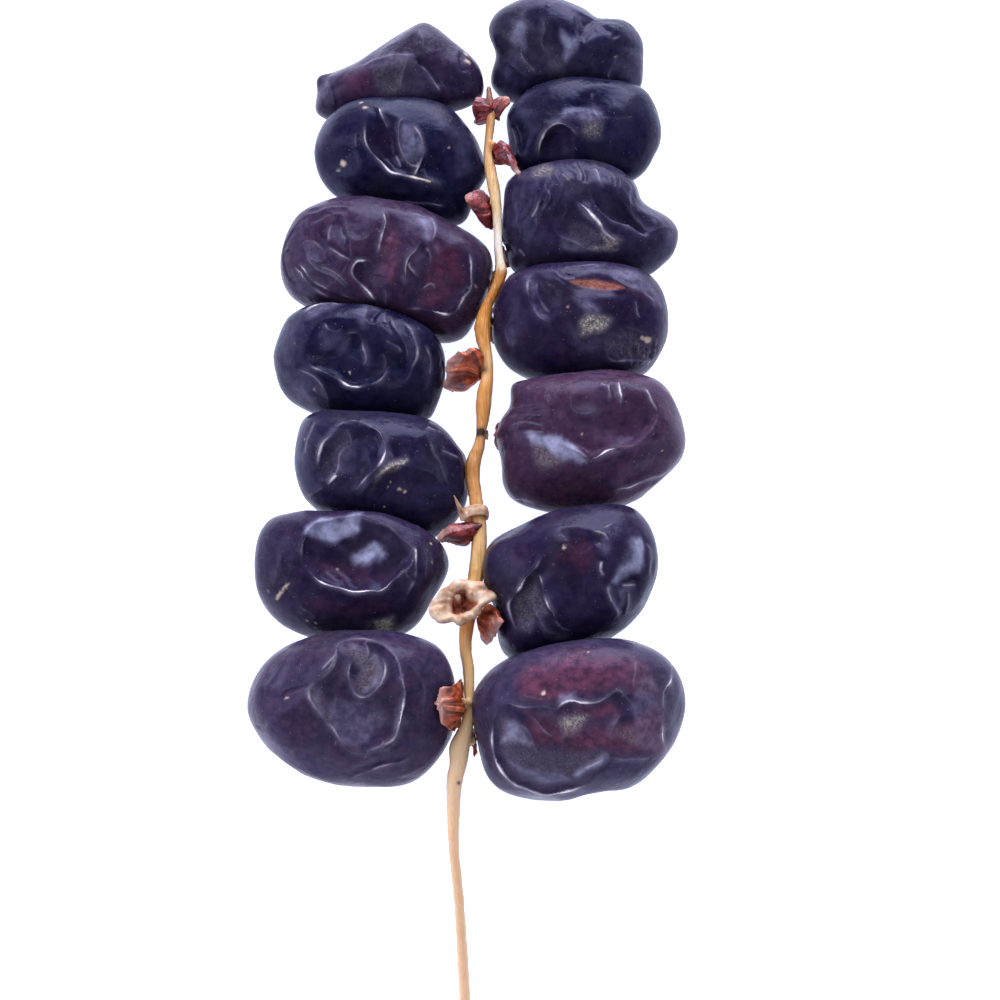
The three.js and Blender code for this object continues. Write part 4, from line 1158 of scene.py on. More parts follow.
PATCHES["date_right_7"] = patches("""
bloom 1.0 561,703 563,692 568,695 573,691 575,700 566,704
bloom 1.1 508,722 520,726 530,738 534,746 520,744 502,744 504,732
dust 0.9 562,721 574,716 588,716 585,724 576,730 566,736 560,729
dust 0.45 614,734 628,726 644,734 640,742 624,742
bloom 0.4 606,730 616,719 615,734 609,740
bloom 0.6 505,757 530,768 560,772 570,782 550,786 520,777
bloom 1.3 574,776 590,764 604,757 608,761 594,770 580,779
bloom 0.3 638,660 650,662 658,690 658,720 644,720 638,690
maroon 1.0 514,676 530,660 566,648 610,648 646,660 662,684 656,700 630,694 606,694 576,698 552,706 518,700
maroon 1.1 520,710 552,712 580,706 612,700 620,716 600,722 560,716 530,722
maroon 1.0 530,714 600,722 640,712 660,690 664,752 600,756 534,748
bloom 0.5 636,680 656,676 664,716 656,748 640,744 632,712
dust 0.22 536,708 552,710 556,716 540,716
dust 0.3 500,716 516,722 532,744 560,754 596,748 606,760 580,776 540,776 508,758 498,738
""")
print("patches in all:", sum(map(len, PATCHES.values())))

# %% [markdown]
# Some marks are too small for an outline. Pleats are a bundle of parallel wrinkles, where the skin
# was gathered. Specks are crumbs and dried drops of sap that the photograph shows one by one, and
# the two specks at one place on the last fruit are a painted glint. Two pale threads of torn skin
# lie on the left row.

# %% Pleats, tones, points and specks
# Places where the skin is finely pleated: centre, radius in millimetres, strength, heading of the
# pleats in degrees, from the picture's right down, and the distance from one pleat to the next.
PLEATS = {
    "date_left_3": [(318, 280, 5, 0.4, 38, 1.4), (312, 236, 5, 0.3, 70, 1.5)],
    "date_left_1": [(345, 96, 4, 0.15, 80, 1.3)],
    "date_left_4": [(436, 362, 4, 0.3, 85, 0.9), (372, 312, 4, 0.2, 110, 0.9)],
    "date_left_5": [(444, 462, 4, 0.3, 60, 1.3)],
    "date_left_6": [(424, 560, 3.5, 0.35, 80, 1.3), (340, 526, 3, 0.15, 95, 0.5)],
    "date_left_7": [(330, 700, 4, 0.2, 75, 1.1), (440, 680, 3, 0.2, 80, 1.2)],
    "date_right_1": [(560, 60, 4, 0.2, 95, 1.3), (600, 50, 5, 0.3, 110, 1.6)],
    "date_right_2": [(590, 130, 3, 0.3, 90, 0.7)],
    "date_right_3": [(532, 205, 5, 0.6, 100, 1.6), (572, 176, 4, 0.3, 75, 1.3),
                     (618, 190, 5, 0.3, 65, 1.6)],
    "date_right_4": [(590, 345, 3, 0.4, 90, 0.5), (560, 276, 3, 0.3, 40, 1.0)],
    "date_right_5": [(546, 452, 4, 0.35, 85, 0.5), (524, 415, 4, 0.5, -8, 0.9),
                     (505, 440, 2, 0.6, 80, 0.8)],
    "date_right_6": [(603, 546, 1.8, 0.8, 20, 0.5), (532, 606, 3, 0.25, 80, 0.8),
                     (632, 560, 2, 0.4, 95, 0.5)],
    "date_right_7": [(574, 724, 2.5, 0.7, 75, 0.45), (594, 768, 2, 0.3, 50, 0.8),
                     (545, 694, 2, 0.4, 60, 0.6)],
}
# How waxy and how maroon each whole fruit is beside its patches.
TONES = {"date_left_1": (0.06, 0.45), "date_left_3": (0.07, 0.55), "date_left_5": (0.04, 0.15),
         "date_left_6": (0.04, 0.4), "date_left_7": (0.12, 0.5), "date_right_1": (0.06, 0.1),
         "date_right_3": (0.07, 0.25), "date_right_4": (0.02, 0.36), "date_right_5": (0.1, 0.7),
         "date_right_6": (0.03, 0.3), "date_right_7": (0.16, 0.42)}
# A few sharp points of the outline, which the smoothing would round off: place, radius and height.
POINTS = {
    "date_left_1": [(323, 81, 1.6, 1.0)],
    "date_right_3": [(677, 225, 1.8, 0.9)],
}
# Small specks: place, radius and strength.
SPECKS = {
    "date_left_1": [(466, 54, 0.7, 0.75), (468, 61, 0.7, 0.7), (355, 60, 0.2, 0.6)],
    "date_left_2": [(343, 163.5, 0.6, 1.3), (337.5, 170.5, 0.3, 1.0), (449, 148, 0.25, 1.1),
                    (361, 103, 0.7, 0.65), (365, 108, 0.6, 0.65)],
    "date_left_3": [(476, 286, 0.25, 1.2)],
    "date_left_4": [(349, 370, 0.2, 1.2), (315, 390, 0.2, 1.0), (410, 417, 0.2, 1.0),
                    (294, 343, 0.2, 0.9)],
    "date_left_5": [(444, 448, 0.25, 1.0), (452, 473, 0.2, 1.0), (304, 438, 0.2, 0.9),
                    (384.5, 507.5, 0.2, 1.2), (400, 489, 0.35, 0.8), (405, 492, 0.4, 0.8),
                    (390, 482, 0.3, 0.6), (387, 488, 0.25, 0.6)],
    "date_left_6": [(430, 544, 0.25, 1.1), (432, 562, 0.25, 0.9), (340, 566, 0.2, 1.1),
                    (268, 591, 0.2, 0.9), (307, 621, 0.25, 0.9), (315, 623, 0.25, 0.9),
                    (305, 610, 0.2, 0.9)],
    "date_left_7": [(336, 743, 0.25, 1.0), (286, 698, 0.25, 1.0)],
    "date_right_1": [(616, 55, 0.2, 0.9), (612, 83, 0.2, 0.9), (522, 57, 0.3, 0.4)],
    "date_right_3": [(592, 247, 0.3, 0.5)],
    "date_right_4": [(648, 340, 0.7, 1.1), (643, 338, 0.45, 0.8), (648, 287, 0.2, 1.0),
                     (568, 306, 0.2, 0.9), (549, 285, 0.2, 0.9)],
    "date_right_5": [(584, 433, 0.25, 1.0), (662, 451, 0.2, 0.9)],
    "date_right_6": [(564.5, 547.5, 0.35, 1.1), (598, 544, 0.2, 1.0), (554, 565, 0.2, 0.9),
                     (608, 526, 0.2, 0.9)],
    # On the last fruit the two specks at 544,694 are a painted glint.
    "date_right_7": [(544, 694, 0.3, 1.3), (589, 652, 0.2, 1.0), (544, 694, 1.0, 0.3)],
}
# Straws and pale threads of skin: the width in millimetres and the line.
THREADS = {
    "date_left_6": [(0.22, "277,598 282,591 288,584")],
    "date_left_2": [(0.14, "412,176 418,178 430,182")],
}
print("specks:", sum(map(len, SPECKS.values())), "pleated places:", sum(map(len, PLEATS.values())))

# %% [markdown]
# The tables become numbers at the corners of a skin. For a patch, each corner's place in the
# picture is tested against the outline, as on a map. Specks and threads are small, so they are
# measured on the skin itself, from where the line of sight meets it.

# %% Read the fields at a skin's corners
# How soft the edge of a patch is, and how far it wanders, in pixels.
PATCH_EDGE = {"maroon": 14.0, "bloom": 5.5, "dust": 6.0, "scar": 2.5, "rough": 2.5}
PATCH_WOBBLE = 2.0
PLEAT_SLOPE = 0.1
PLEAT_WANDER = 0.45


def spots(tree, points, rows):
    """A soft field that is strong round each spot and falls off over its radius."""
    total = np.zeros(len(points))
    for across, down, radius, strength in rows:
        hit = tree.ray_cast(Vector(camera_place), Vector(ray_to((across, down))))[0]
        if hit is not None:
            distance = np.linalg.norm(points - np.array(hit), axis=1)
            total += np.exp(-(distance / radius) ** 2) * strength
    return total


def share_inside(outline, seen, edge):
    """1 for the picture places inside an outline and 0 for those outside, soft at the edge."""
    across, down = seen[:, 0], seen[:, 1]
    inside = np.zeros(len(seen), dtype=bool)
    distance = np.full(len(seen), np.inf)
    line = curve_through(outline, True)[::2]
    for start, end in zip(line, np.roll(line, -1, axis=0)):
        step = end - start
        if not step @ step:
            continue
        crossed = (start[1] > down) != (end[1] > down)
        inside ^= crossed & (across < start[0] + (down - start[1]) * step[0] / (step[1] or 1))
        share = np.clip((seen - start) @ step / (step @ step), 0, 1)
        distance = np.minimum(distance, np.linalg.norm(seen - start - share[:, None] * step, axis=1))
    return smooth_step(-edge, edge, np.where(inside, distance, -distance))


def patch_field(kind, name, seen):
    """The strongest patch of one kind at each of some picture places."""
    total = np.zeros(len(seen))
    for this_kind, strength, outline in PATCHES.get(name, []):
        if this_kind == kind:
            total = np.maximum(total, share_inside(outline, seen, PATCH_EDGE[kind]) * strength)
    return total


def thread_field(tree, name, corners, normals):
    """Pale threads lying on a skin."""
    total = np.zeros(len(corners))
    for width, path in THREADS.get(name, []):
        line = laid_on(tree, places(path), False)
        distance, _, _ = nearest_on_line(corners, normals, line)
        total = np.maximum(total, np.exp(-(distance / width) ** 4))
    return total


def pleat_field(name, seen, corners, seed):
    """Fine pleats in the places where the picture shows them: their height and where they are."""
    height = np.zeros(len(seen))
    cover = np.zeros(len(seen))
    for across, down, radius, strength, heading, spacing in PLEATS.get(name, []):
        offset = (seen - (across, down)) * MM_PER_PIXEL
        there = np.exp(-np.sum(offset ** 2, axis=1) / radius ** 2) * strength
        turn = math.radians(heading)
        wander = waves(corners, 2.6, seed) * spacing * PLEAT_WANDER
        run = offset @ (-math.sin(turn), math.cos(turn)) + wander
        ridges = 1 - 2 * np.abs(np.sin(run * math.pi / spacing))
        height += ridges * there * spacing * PLEAT_SLOPE
        cover = np.maximum(cover, there * np.clip(ridges, 0, 1))
    return height, cover


# %% [markdown]
# Every corner then moves once, along its normal, by a sum: folds, slow pillows, a crumple that is
# stronger on the sides the photograph hides, pleats, points and the scab. What the material needs
# to know stays on the skin as attributes. Near the ground nothing moves, so the fruits still lie.

# %% Shape each skin
FIRST_SEED = 11
PILLOW_HEIGHT = 0.14
PILLOW_SIZE = 4.5
CRUMPLE_HEIGHT = 0.16
CRUMPLE_SIZE = 3.0
CRUMPLED_AREA = 11
SCAB_HEIGHT = 0.2
SCAB_GRAINS = (0.9, 0.6)
RED_AREA = 12
HIDDEN_RED = 0.7
BLUR_SIZE = 2.4
SHAKE_SIZE = 0.8
SHAKE = 0.12
LYING_HEIGHT = 0.35


def shaped_skin(name, seed):
    """A fruit's skin with its folds, pillows and pleats, and its colour fields as attributes."""
    skin, middle = plain_skin(name)
    corners = corners_of(skin)
    normals = normals_of(skin)
    tree = rays_at(skin)
    facing = smooth_step(-0.2, 0.3, normals @ -sight)
    hidden = 1 - facing
    seen = place_of(corners)
    blurred = seen + offsets(corners, BLUR_SIZE, seed + 500, 2) * PATCH_WOBBLE
    height, pale, away = press_folds(name, skin, tree, middle, seed)
    height += waves(corners, PILLOW_SIZE, seed + 100) * PILLOW_HEIGHT * (0.65 + 0.35 * hidden)
    crumple = 1 - 2 * np.abs(waves(corners, CRUMPLE_SIZE * 2, seed + 300))
    area = smooth_step(0.4, 1.4, waves(corners, CRUMPLED_AREA, seed + 200))
    height += crumple * CRUMPLE_HEIGHT * (0.3 + 0.7 * area * hidden)
    pleats, cover = pleat_field(name, blurred, corners, seed + 600)
    grains = [waves(corners, size, seed + 800 + k, 12) for k, size in enumerate(SCAB_GRAINS)]
    height += np.maximum(*grains) * SCAB_HEIGHT * patch_field("rough", name, seen) * facing
    height += pleats * facing + spots(tree, corners, POINTS.get(name, []))
    height[corners[:, 2] < LYING_HEIGHT] = 0
    move_corners(skin, corners + normals * height[:, None])
    waxy, reddish = TONES.get(name, (0.0, 0.0))
    red_below = smooth_step(0.2, 1.6, waves(corners, RED_AREA, seed + 400)) * HIDDEN_RED * hidden
    shaken = corners + offsets(corners, SHAKE_SIZE, seed + 700) * SHAKE
    specks = smooth_step(0.25, 0.75, spots(tree, shaken, SPECKS.get(name, [])))
    specks = specks + thread_field(tree, name, corners, normals)
    # Wax and painted highlights share one pale field: the strongest patches are painted highlights.
    wax_and_highlight_field = np.maximum(patch_field("bloom", name, blurred) * facing, waxy)
    fields = {
        # the painted highlight along the crests
        "crest": np.clip(pale, 0, 1.5),
        "away": np.clip(away, -FAR, FAR),
        "apart": np.clip(np.abs(away), 0, FAR),
        "maroon": np.maximum(patch_field("maroon", name, blurred), reddish) * facing + red_below,
        # the pale field, with a little painted highlight on the ridges of the pleats
        "bloom": wax_and_highlight_field + cover * facing * 0.2,
        # dust in the pockets, and painted sandy glints on saddles and lit facets
        "dust": patch_field("dust", name, blurred) * facing,
        "speck": specks * facing,
        "scar": patch_field("scar", name, seen) * facing,
    }
    for field, values in fields.items():
        set_attribute(skin, field, values)
    return skin


skins = {name: shaped_skin(name, FIRST_SEED + index) for index, name in enumerate(fruit_names)}
print("corners on one skin:", len(skins[fruit_names[0]].vertices))

# %% [markdown]
# A pattern is noise on Object coordinates, so it stays on its piece, and its scale comes from the
# real size of its features. A soft or hard step between two marks turns it into a share.

# %% Helpers for patterns


def per_metre(size_mm):
    """The scale of a noise pattern on Object coordinates whose features have this size."""
    return 1000.0 / size_mm


def noise(place, size_mm, **inputs):
    """A noise pattern with features of a real size."""
    scale = per_metre(size_mm)
    return add(home(place), "ShaderNodeTexNoise", Vector=place, Scale=scale, **inputs).outputs[0]


def object_place(tree):
    return add(tree, "ShaderNodeTexCoord").outputs["Object"]


def between(value, low, high, soft=False):
    """A value as a share from 0 at a low mark to 1 at a high one."""
    settings = {"interpolation_type": "SMOOTHSTEP"} if soft else None
    return add(home(value), "ShaderNodeMapRange", settings, i0=value, i1=low, i2=high).outputs[0]


def layered(base, layers):
    """A colour under several layers, each a share and a colour, the last on top."""
    for share, upper in layers:
        base = mix(share, base, upper)
    return base


# %% [markdown]
# Date skin is a thin, tough, waxy peel, nearly black when ripe. It gives the eye three things: a
# deep blue-black with maroon where light passes into the flesh, a satin gloss, with highlights along
# the crests painted as pale lines, and a grey-lavender bloom of wax, rubbed away in places, whose
# strong patches are painted highlights. The bloom's patches are about 6 mm wide, the mottling
# 1.6 mm and the grain 0.4 mm. Dust and dry skin are beige, streaky and without gloss, and beige
# patches also paint sandy glints.

# %% Colours and measures of the skins
BLOOM_PATCH = 6.0
OLIVE_PATCH = 10.0
MOTTLE = 1.6
GRAIN = 0.4
STREAK = 0.5
# The painted highlight on a crest is full out to the core and gone at the edge. A weaker painted
# highlight lies above it.
CREST_CORE = 0.08
CREST_EDGE = 0.42
CREST_GLOW = 1.3
FLESH_COLOURS = [(0.0, "#0b0b28"), (0.35, "#21122d"), (0.7, "#431c2e"), (1.0, "#68283a")]
# The pale end of these colours also serves the painted highlights.
WAX_AND_HIGHLIGHT_COLOURS = [(0.3, "#a8a2c0"), (0.9, "#c8cce4")]
# Colours of the painted highlight on the crests, from dim to near white.
CREST_HIGHLIGHT_COLOURS = [(0.0, "#625c70"), (0.4, "#8f8794"), (0.75, "#c2b9b8"), (1.0, "#f4eeea")]
# The pale end of these colours also paints sandy glints.
DUST_AND_GLINT_COLOURS = [(0.0, "#6f6670"), (0.35, "#8f8684"), (0.7, "#b8af98"), (1.0, "#d8d0b0")]

# %% [markdown]
# The material is painted as a series of thin layers, from the flesh up to the crumbs. Each layer
# has a share, which says where it covers the one below. The painted highlight on a crest is its
# own share, made of the distance to the crest and broken up by the mottling.

# %% Material of the skins


def crest_highlight_share(tree, mottle):
    """Where the painted highlight on a crest and the weaker painted highlight above it lie."""
    away = attribute(tree, "away")
    line = between(calc("ABSOLUTE", away), CREST_EDGE, CREST_CORE, soft=True)
    line = times(line, between(attribute(tree, "apart"), 0.7, 0.4, soft=True))
    line = times(line, plus(mottle, 0.5))
    rising = between(away, -CREST_GLOW, 0.0, soft=True)
    above = times(rising, between(away, 0.3, 0.0, soft=True))
    line = calc("MAXIMUM", line, times(above, 0.45))
    return times(attribute(tree, "crest"), line)


def waxy_skin():
    material, tree, shader = new_material("waxy date skin")
    place = object_place(tree)
    broad = noise(place, BLOOM_PATCH, Detail=4.0, Roughness=0.6)
    mottle = noise(place, MOTTLE, Detail=4.0, Roughness=0.6)
    grain = noise(place, GRAIN, Detail=3.0)
    streak = noise(place, STREAK, Detail=4.0, Roughness=0.7, Distortion=1.0)
    haze = between(broad, 0.42, 0.72)
    worn = between(mottle, 0.35, 0.65)
    olive = between(noise(place, OLIVE_PATCH, Detail=3.0), 0.5, 0.68)
    streaky = plus(times(between(streak, 0.4, 0.6), 0.6), 0.4)
    red = times(attribute(tree, "maroon"), plus(mottle, 0.3))
    wax_and_sheen = times(attribute(tree, "bloom"), plus(times(worn, 0.5), 0.5))
    crest = crest_highlight_share(tree, mottle)
    dust_and_glint_share = times(attribute(tree, "dust"), streaky, True)
    base = layered(ramp(red, FLESH_COLOURS), [
        # an olive cast, then the haze and wear that all of the skin has
        (times(olive, 0.35), colour("#2a2620")),
        (times(haze, 0.07), colour("#6c6a90")),
        (times(worn, 0.035), colour("#8a7f96")),
        # wax and painted highlights in patches, and the painted highlight on the crests
        (times(wax_and_sheen, 0.38, True), ramp(wax_and_sheen, WAX_AND_HIGHLIGHT_COLOURS)),
        (times(crest, 0.85, True), ramp(crest, CREST_HIGHLIGHT_COLOURS)),
        # dry scar, dust with painted sandy glints, and specks
        (times(attribute(tree, "scar"), streaky, True), colour("#b8745a")),
        (times(dust_and_glint_share, 0.8), ramp(dust_and_glint_share, DUST_AND_GLINT_COLOURS)),
        (times(attribute(tree, "speck"), 1.0, True), colour("#cdb99c")),
    ])
    dull = plus(0.22, times(haze, 0.14))
    dull = plus(dull, times(worn, 0.06))
    dull = plus(dull, times(dust_and_glint_share, 0.35), True)
    fine = add(tree, "ShaderNodeBump", Strength=0.15, Distance=0.00012, Height=grain).outputs[0]
    bumps = add(tree, "ShaderNodeBump", Strength=0.2, Distance=0.0003, Height=mottle, Normal=fine)
    feed(tree, shader, Base_Color=base, Roughness=dull, IOR=1.42, Specular_IOR_Level=0.14,
         Specular_Tint=colour("#d0d2ff"), Normal=bumps.outputs[0])
    return material


skin_material = waxy_skin()
print("nodes in the skin's material:", len(skin_material.node_tree.nodes))

# %% [markdown]
# The finest wrinkles follow one rule everywhere, so a Geometry Nodes tree makes them: it moves
# each corner along its normal by a creased noise. The same tree serves skins, stem and caps with
# other inputs, because a stretch along one axis turns wrinkles into fibres.

# %% A tree of nodes for fine wrinkles
# Noise minus its middle is small, so it is enlarged, and creases go down, so the sign is turned.
CREASE_GAIN = -6.0
EVEN = (1.0, 1.0, 1.0)


def new_tree(name, **kinds):
    """A tree of nodes whose inputs have the given kinds, and the sockets that bring them."""
    tree = bpy.data.node_groups.new(name, "GeometryNodeTree")
    for socket, kind in kinds.items():
        tree.interface.new_socket(socket, in_out="INPUT", socket_type="NodeSocket" + kind)
    tree.interface.new_socket("Geometry", in_out="OUTPUT", socket_type="NodeSocketGeometry")
    return tree, add(tree, "NodeGroupInput").outputs


def wrinkle_tree():
    """Inputs: depth and size of the wrinkles, a stretch for each axis, a seed and the material."""
    tree, given = new_tree("fine wrinkles", Geometry="Geometry", Depth="Float", Size="Float",
                           Stretch="Vector", Seed="Float", Material="Material")
    place = add(tree, "GeometryNodeInputPosition").outputs[0]
    multiply = {"operation": "MULTIPLY"}
    stretched = add(tree, "ShaderNodeVectorMath", multiply, i0=place, i1=given["Stretch"])
    scale = calc("DIVIDE", 1.0, given["Size"])
    pattern = add(tree, "ShaderNodeTexNoise", {"noise_dimensions": "4D"}, W=given["Seed"],
                  Vector=stretched.outputs[0], Scale=scale, Detail=3.0, Roughness=0.55)
    creased = calc("ABSOLUTE", calc("SUBTRACT", pattern.outputs[0], 0.5))
    depth = times(times(creased, CREASE_GAIN), given["Depth"])
    normal = add(tree, "GeometryNodeInputNormal").outputs[0]
    offset = add(tree, "ShaderNodeVectorMath", {"operation": "SCALE"}, i0=normal, Scale=depth)
    moved = add(tree, "GeometryNodeSetPosition", Geometry=given["Geometry"], Offset=offset.outputs[0])
    real = add(tree, "GeometryNodeRealizeInstances", Geometry=moved.outputs[0])
    dressed = add(tree, "GeometryNodeSetMaterial", Geometry=real.outputs[0], Material=given["Material"])
    add(tree, "NodeGroupOutput", Geometry=dressed.outputs[0])
    return tree


def grown(mesh, tree, **inputs):
    """A plain mesh made by a tree of nodes, with its inputs set by their identifiers."""
    thing = working_object(mesh)
    modifier = thing.modifiers.new("tree", "NODES")
    modifier.node_group = tree
    items = [item for item in tree.interface.items_tree if item.in_out == "INPUT"]
    sockets = {item.name: item.identifier for item in items}
    for name, value in inputs.items():
        modifier[sockets[name]] = value
    return result_of(thing)


wrinkles = wrinkle_tree()
print("nodes in the wrinkle tree:", len(wrinkles.nodes))

# %% [markdown]
# Dry crumbs and lint lie on every ripe date. They are scattered by a second tree of nodes: random
# points on the upper faces of a skin, thicker where the dust is, each with a flat little lump. The
# lumps are a tenth of a millimetre wide, which the eye sees only as pale specks.

# %% A tree of nodes for crumbs
# How many times more crumbs lie where the dust is full.
DUST_CRUMBS = 14.0
CRUMB_DENSITY = 0.16
CRUMB_SIZE = 0.085
# A lump's breadth and height as shares of its length, and the smallest length.
CRUMB_BREADTH = 0.7
CRUMB_RISE = 0.4
SMALLEST_CRUMB = 0.35
A_NUMBER = {"data_type": "FLOAT"}


def crumb_tree():
    """Inputs: crumbs on a square millimetre, their size, a seed and both materials."""
    tree, given = new_tree("crumbs", Geometry="Geometry", Density="Float", Size="Float",
                           Seed="Int", Skin="Material", Crumb="Material")
    normal = add(tree, "GeometryNodeInputNormal").outputs[0]
    upright = add(tree, "ShaderNodeSeparateXYZ", Vector=normal).outputs["Z"]
    dust_and_glint_share = add(tree, "GeometryNodeInputNamedAttribute", A_NUMBER, Name="dust").outputs[0]
    share = plus(times(dust_and_glint_share, DUST_CRUMBS), calc("MAXIMUM", upright, 0.0))
    density = times(share, given["Density"])
    points = add(tree, "GeometryNodeDistributePointsOnFaces", Mesh=given["Geometry"],
                 Density=density, Seed=given["Seed"])
    lump = add(tree, "GeometryNodeMeshIcoSphere", Radius=1.0, Subdivisions=1).outputs[0]
    marked = add(tree, "GeometryNodeStoreNamedAttribute", {"data_type": "FLOAT", "domain": "FACE"},
                 Geometry=lump, Name="crumb", Value=1.0).outputs[0]
    chance = add(tree, "FunctionNodeRandomValue", A_NUMBER, i2=SMALLEST_CRUMB, i3=1.0,
                 Seed=given["Seed"])
    long = times(chance.outputs[1], given["Size"])
    size = add(tree, "ShaderNodeCombineXYZ", X=long, Y=times(long, CRUMB_BREADTH),
               Z=times(long, CRUMB_RISE)).outputs[0]
    lumps = add(tree, "GeometryNodeInstanceOnPoints", Points=points.outputs["Points"],
                Instance=marked, Rotation=points.outputs["Rotation"], Scale=size).outputs[0]
    both = add(tree, "GeometryNodeJoinGeometry")
    tree.links.new(lumps, both.inputs[0])
    tree.links.new(given["Geometry"], both.inputs[0])
    real = add(tree, "GeometryNodeRealizeInstances", Geometry=both.outputs[0]).outputs[0]
    skinned = add(tree, "GeometryNodeSetMaterial", Geometry=real, Material=given["Skin"]).outputs[0]
    crumb = add(tree, "GeometryNodeInputNamedAttribute", A_NUMBER, Name="crumb").outputs[0]
    above = {"data_type": "FLOAT", "operation": "GREATER_THAN"}
    picked = add(tree, "FunctionNodeCompare", above, i0=crumb, i1=0.5)
    dressed = add(tree, "GeometryNodeSetMaterial", Geometry=skinned, Selection=picked.outputs[0],
                  Material=given["Crumb"])
    add(tree, "NodeGroupOutput", Geometry=dressed.outputs[0])
    return tree


def crumb_material():
    """Lint and dry crumbs: pale beige and without gloss."""
    material, tree, shader = new_material("dry crumbs")
    feed(tree, shader, Base_Color=colour("#9d958f"), Roughness=0.9)
    return material


crumbs = crumb_tree()
crumb_stuff = crumb_material()
print("nodes in the crumb tree:", len(crumbs.nodes))

# %% [markdown]
# Now every skin goes through both trees. In between, a decimation drops the corners where the
# grid is finer than its folds need, and keeps them on the crests.

# %% Wrinkle the skins and set them in place
KEPT_SHARE = 0.37
SKIN_WRINKLES = {"Depth": 0.045, "Size": 2.0, "Stretch": EVEN, "Material": skin_material}
CRUMBS = {"Density": CRUMB_DENSITY, "Size": CRUMB_SIZE, "Skin": skin_material, "Crumb": crumb_stuff}

for index, name in enumerate(fruit_names):
    skin = grown(skins[name], wrinkles, Seed=float(index), **SKIN_WRINKLES)
    skin = evaluated(skin, "DECIMATE", ratio=KEPT_SHARE)
    skin = grown(skin, crumbs, Seed=index, **CRUMBS)
    finish_piece(name + "_skin", skin, name)
print("skins set:", len(fruit_names))

# %% [markdown]
# The stem is a strip of the palm's fruit stalk, woody and a little translucent, with a smooth
# yellow rind over lengthwise fibres. The solid has its route and thickness. A voxel remesh melts
# the short side stalks into it, and the wrinkle tree, stretched along the stem, gives the fibres.
# The rind's colour changes along the stem, it carries painted shade on the flanks, and it is
# browner between the fibres.

# %% Shape the stem
STEM_VOXEL = 0.2
STEM_ROUNDS = 5
# Lengthwise fibres in millimetres, their stretch, and the blotches of the rind.
FIBRE = 0.3
FIBRE_STRETCH = (1.0, 0.08, 1.0)
BLOTCH = 3.0
# How far down the picture the colours below reach.
STEM_REACH = 1100
# Along the stem: places down the picture and the rind's colour there. The near-white band from 240
# to 264 is a painted highlight, and from 660 down the rind is painted brighter, as painted light
# where the fruits shade the stem.
RIND = [(88, "#8a5a3a"), (104, "#8f5536"), (118, "#cf9452"), (150, "#d8a462"), (205, "#e8c888"),
        (240, "#faeed6"), (264, "#f6e4bc"), (274, "#cf8a34"), (300, "#c47c26"), (318, "#d08a2e"),
        (345, "#e0a048"), (362, "#efc078"), (384, "#e2a04e"), (424, "#d29448"), (440, "#dca25a"),
        (470, "#d4924a"), (500, "#e0a458"), (540, "#f0c27c"), (580, "#f6c470"), (622, "#e6a458"),
        (660, "#ffc87e"), (700, "#ffd08a"), (740, "#ffdaa0"), (790, "#ffd6a2"), (860, "#f0c994"),
        (1060, "#eecb9e")]
# Marks on the rind: place, radius in millimetres and strength.
MARKS = [(482, 432, 0.75, 1.6), (487, 431, 0.8, 1.4), (477, 433, 0.7, 1.2), (495, 399, 0.5, 1.2),
         (459, 783, 0.35, 1.0), (484, 370, 0.8, 0.8), (468, 462, 0.6, 0.3), (472, 738, 0.8, 0.5)]


def stem_piece():
    mesh = evaluated(solid_of("stem"), "REMESH", mode="VOXEL", voxel_size=STEM_VOXEL)
    move_corners(mesh, pulled("stem", smoothed(mesh, STEM_ROUNDS)))
    corners = corners_of(mesh)
    set_attribute(mesh, "along", np.clip(place_of(corners)[:, 1] / STEM_REACH, 0, 1))
    set_attribute(mesh, "mark", spots(rays_at(mesh), corners, MARKS))
    return mesh


def woody_rind():
    """Dried palm stalk: a smooth satin rind that lets some light through, with brown marks."""
    material, tree, shader = new_material("woody palm rind")
    place = object_place(tree)
    stretched = add(tree, "ShaderNodeMapping", Vector=place, Scale=FIBRE_STRETCH).outputs[0]
    fibre = noise(stretched, FIBRE, Detail=4.0, Roughness=0.65)
    blotch = noise(place, BLOTCH, Detail=4.0, Roughness=0.6)
    along = attribute(tree, "along")
    # Stains and fibres are strong on the upper stem and weak below.
    strong = plus(times(between(along, 0.62, 0.5), 0.45), 0.1)
    flank = between(attribute(tree, "flank"), 0.25, 0.75)
    stained = between(blotch, 0.55, 0.75)
    rind_colour = ramp(along, [(down / STEM_REACH, code) for down, code in RIND])
    base = layered(rind_colour, [
        # dark and light fibres
        (times(between(fibre, 0.5, 0.7), strong), colour("#9c5a22")),
        (times(between(fibre, 0.46, 0.3), 0.35), colour("#fff0d0")),
        # stains, painted shade on the flanks, and marks
        (times(stained, times(strong, 0.7)), colour("#b9702c")),
        (times(flank, plus(strong, 0.2)), colour("#8a4c18")),
        (times(attribute(tree, "mark"), 1.0, True), colour("#3a2418")),
    ])
    bumps = add(tree, "ShaderNodeBump", Strength=0.6, Distance=0.00015, Height=fibre)
    feed(tree, shader, Base_Color=base, Roughness=0.5, IOR=1.5, Specular_IOR_Level=0.3,
         Subsurface_Weight=0.5, Subsurface_Radius=(1.0, 0.65, 0.35), Subsurface_Scale=0.0015,
         Normal=bumps.outputs[0])
    return material


rind = woody_rind()
stem = grown(stem_piece(), wrinkles, Depth=0.07, Size=0.7, Stretch=(1.0, 0.12, 1.0), Seed=3.0,
             Material=rind)
mark_flank_shade(stem)
finish_piece("stem_rind", stem, "stem")
stem_line = corners_of(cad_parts["stem"].data) * 1000
print("stem faces:", len(stem.polygons))

# %% [markdown]
# Each flower cap is what is left of the flower: three tough lobes grown together round the
# fruit's end, dried to orange-brown or wine-red leather. They are remeshed finely, creased along
# lines that run from neck to rim, and thinned and waved at the rim, where the leather is palest.

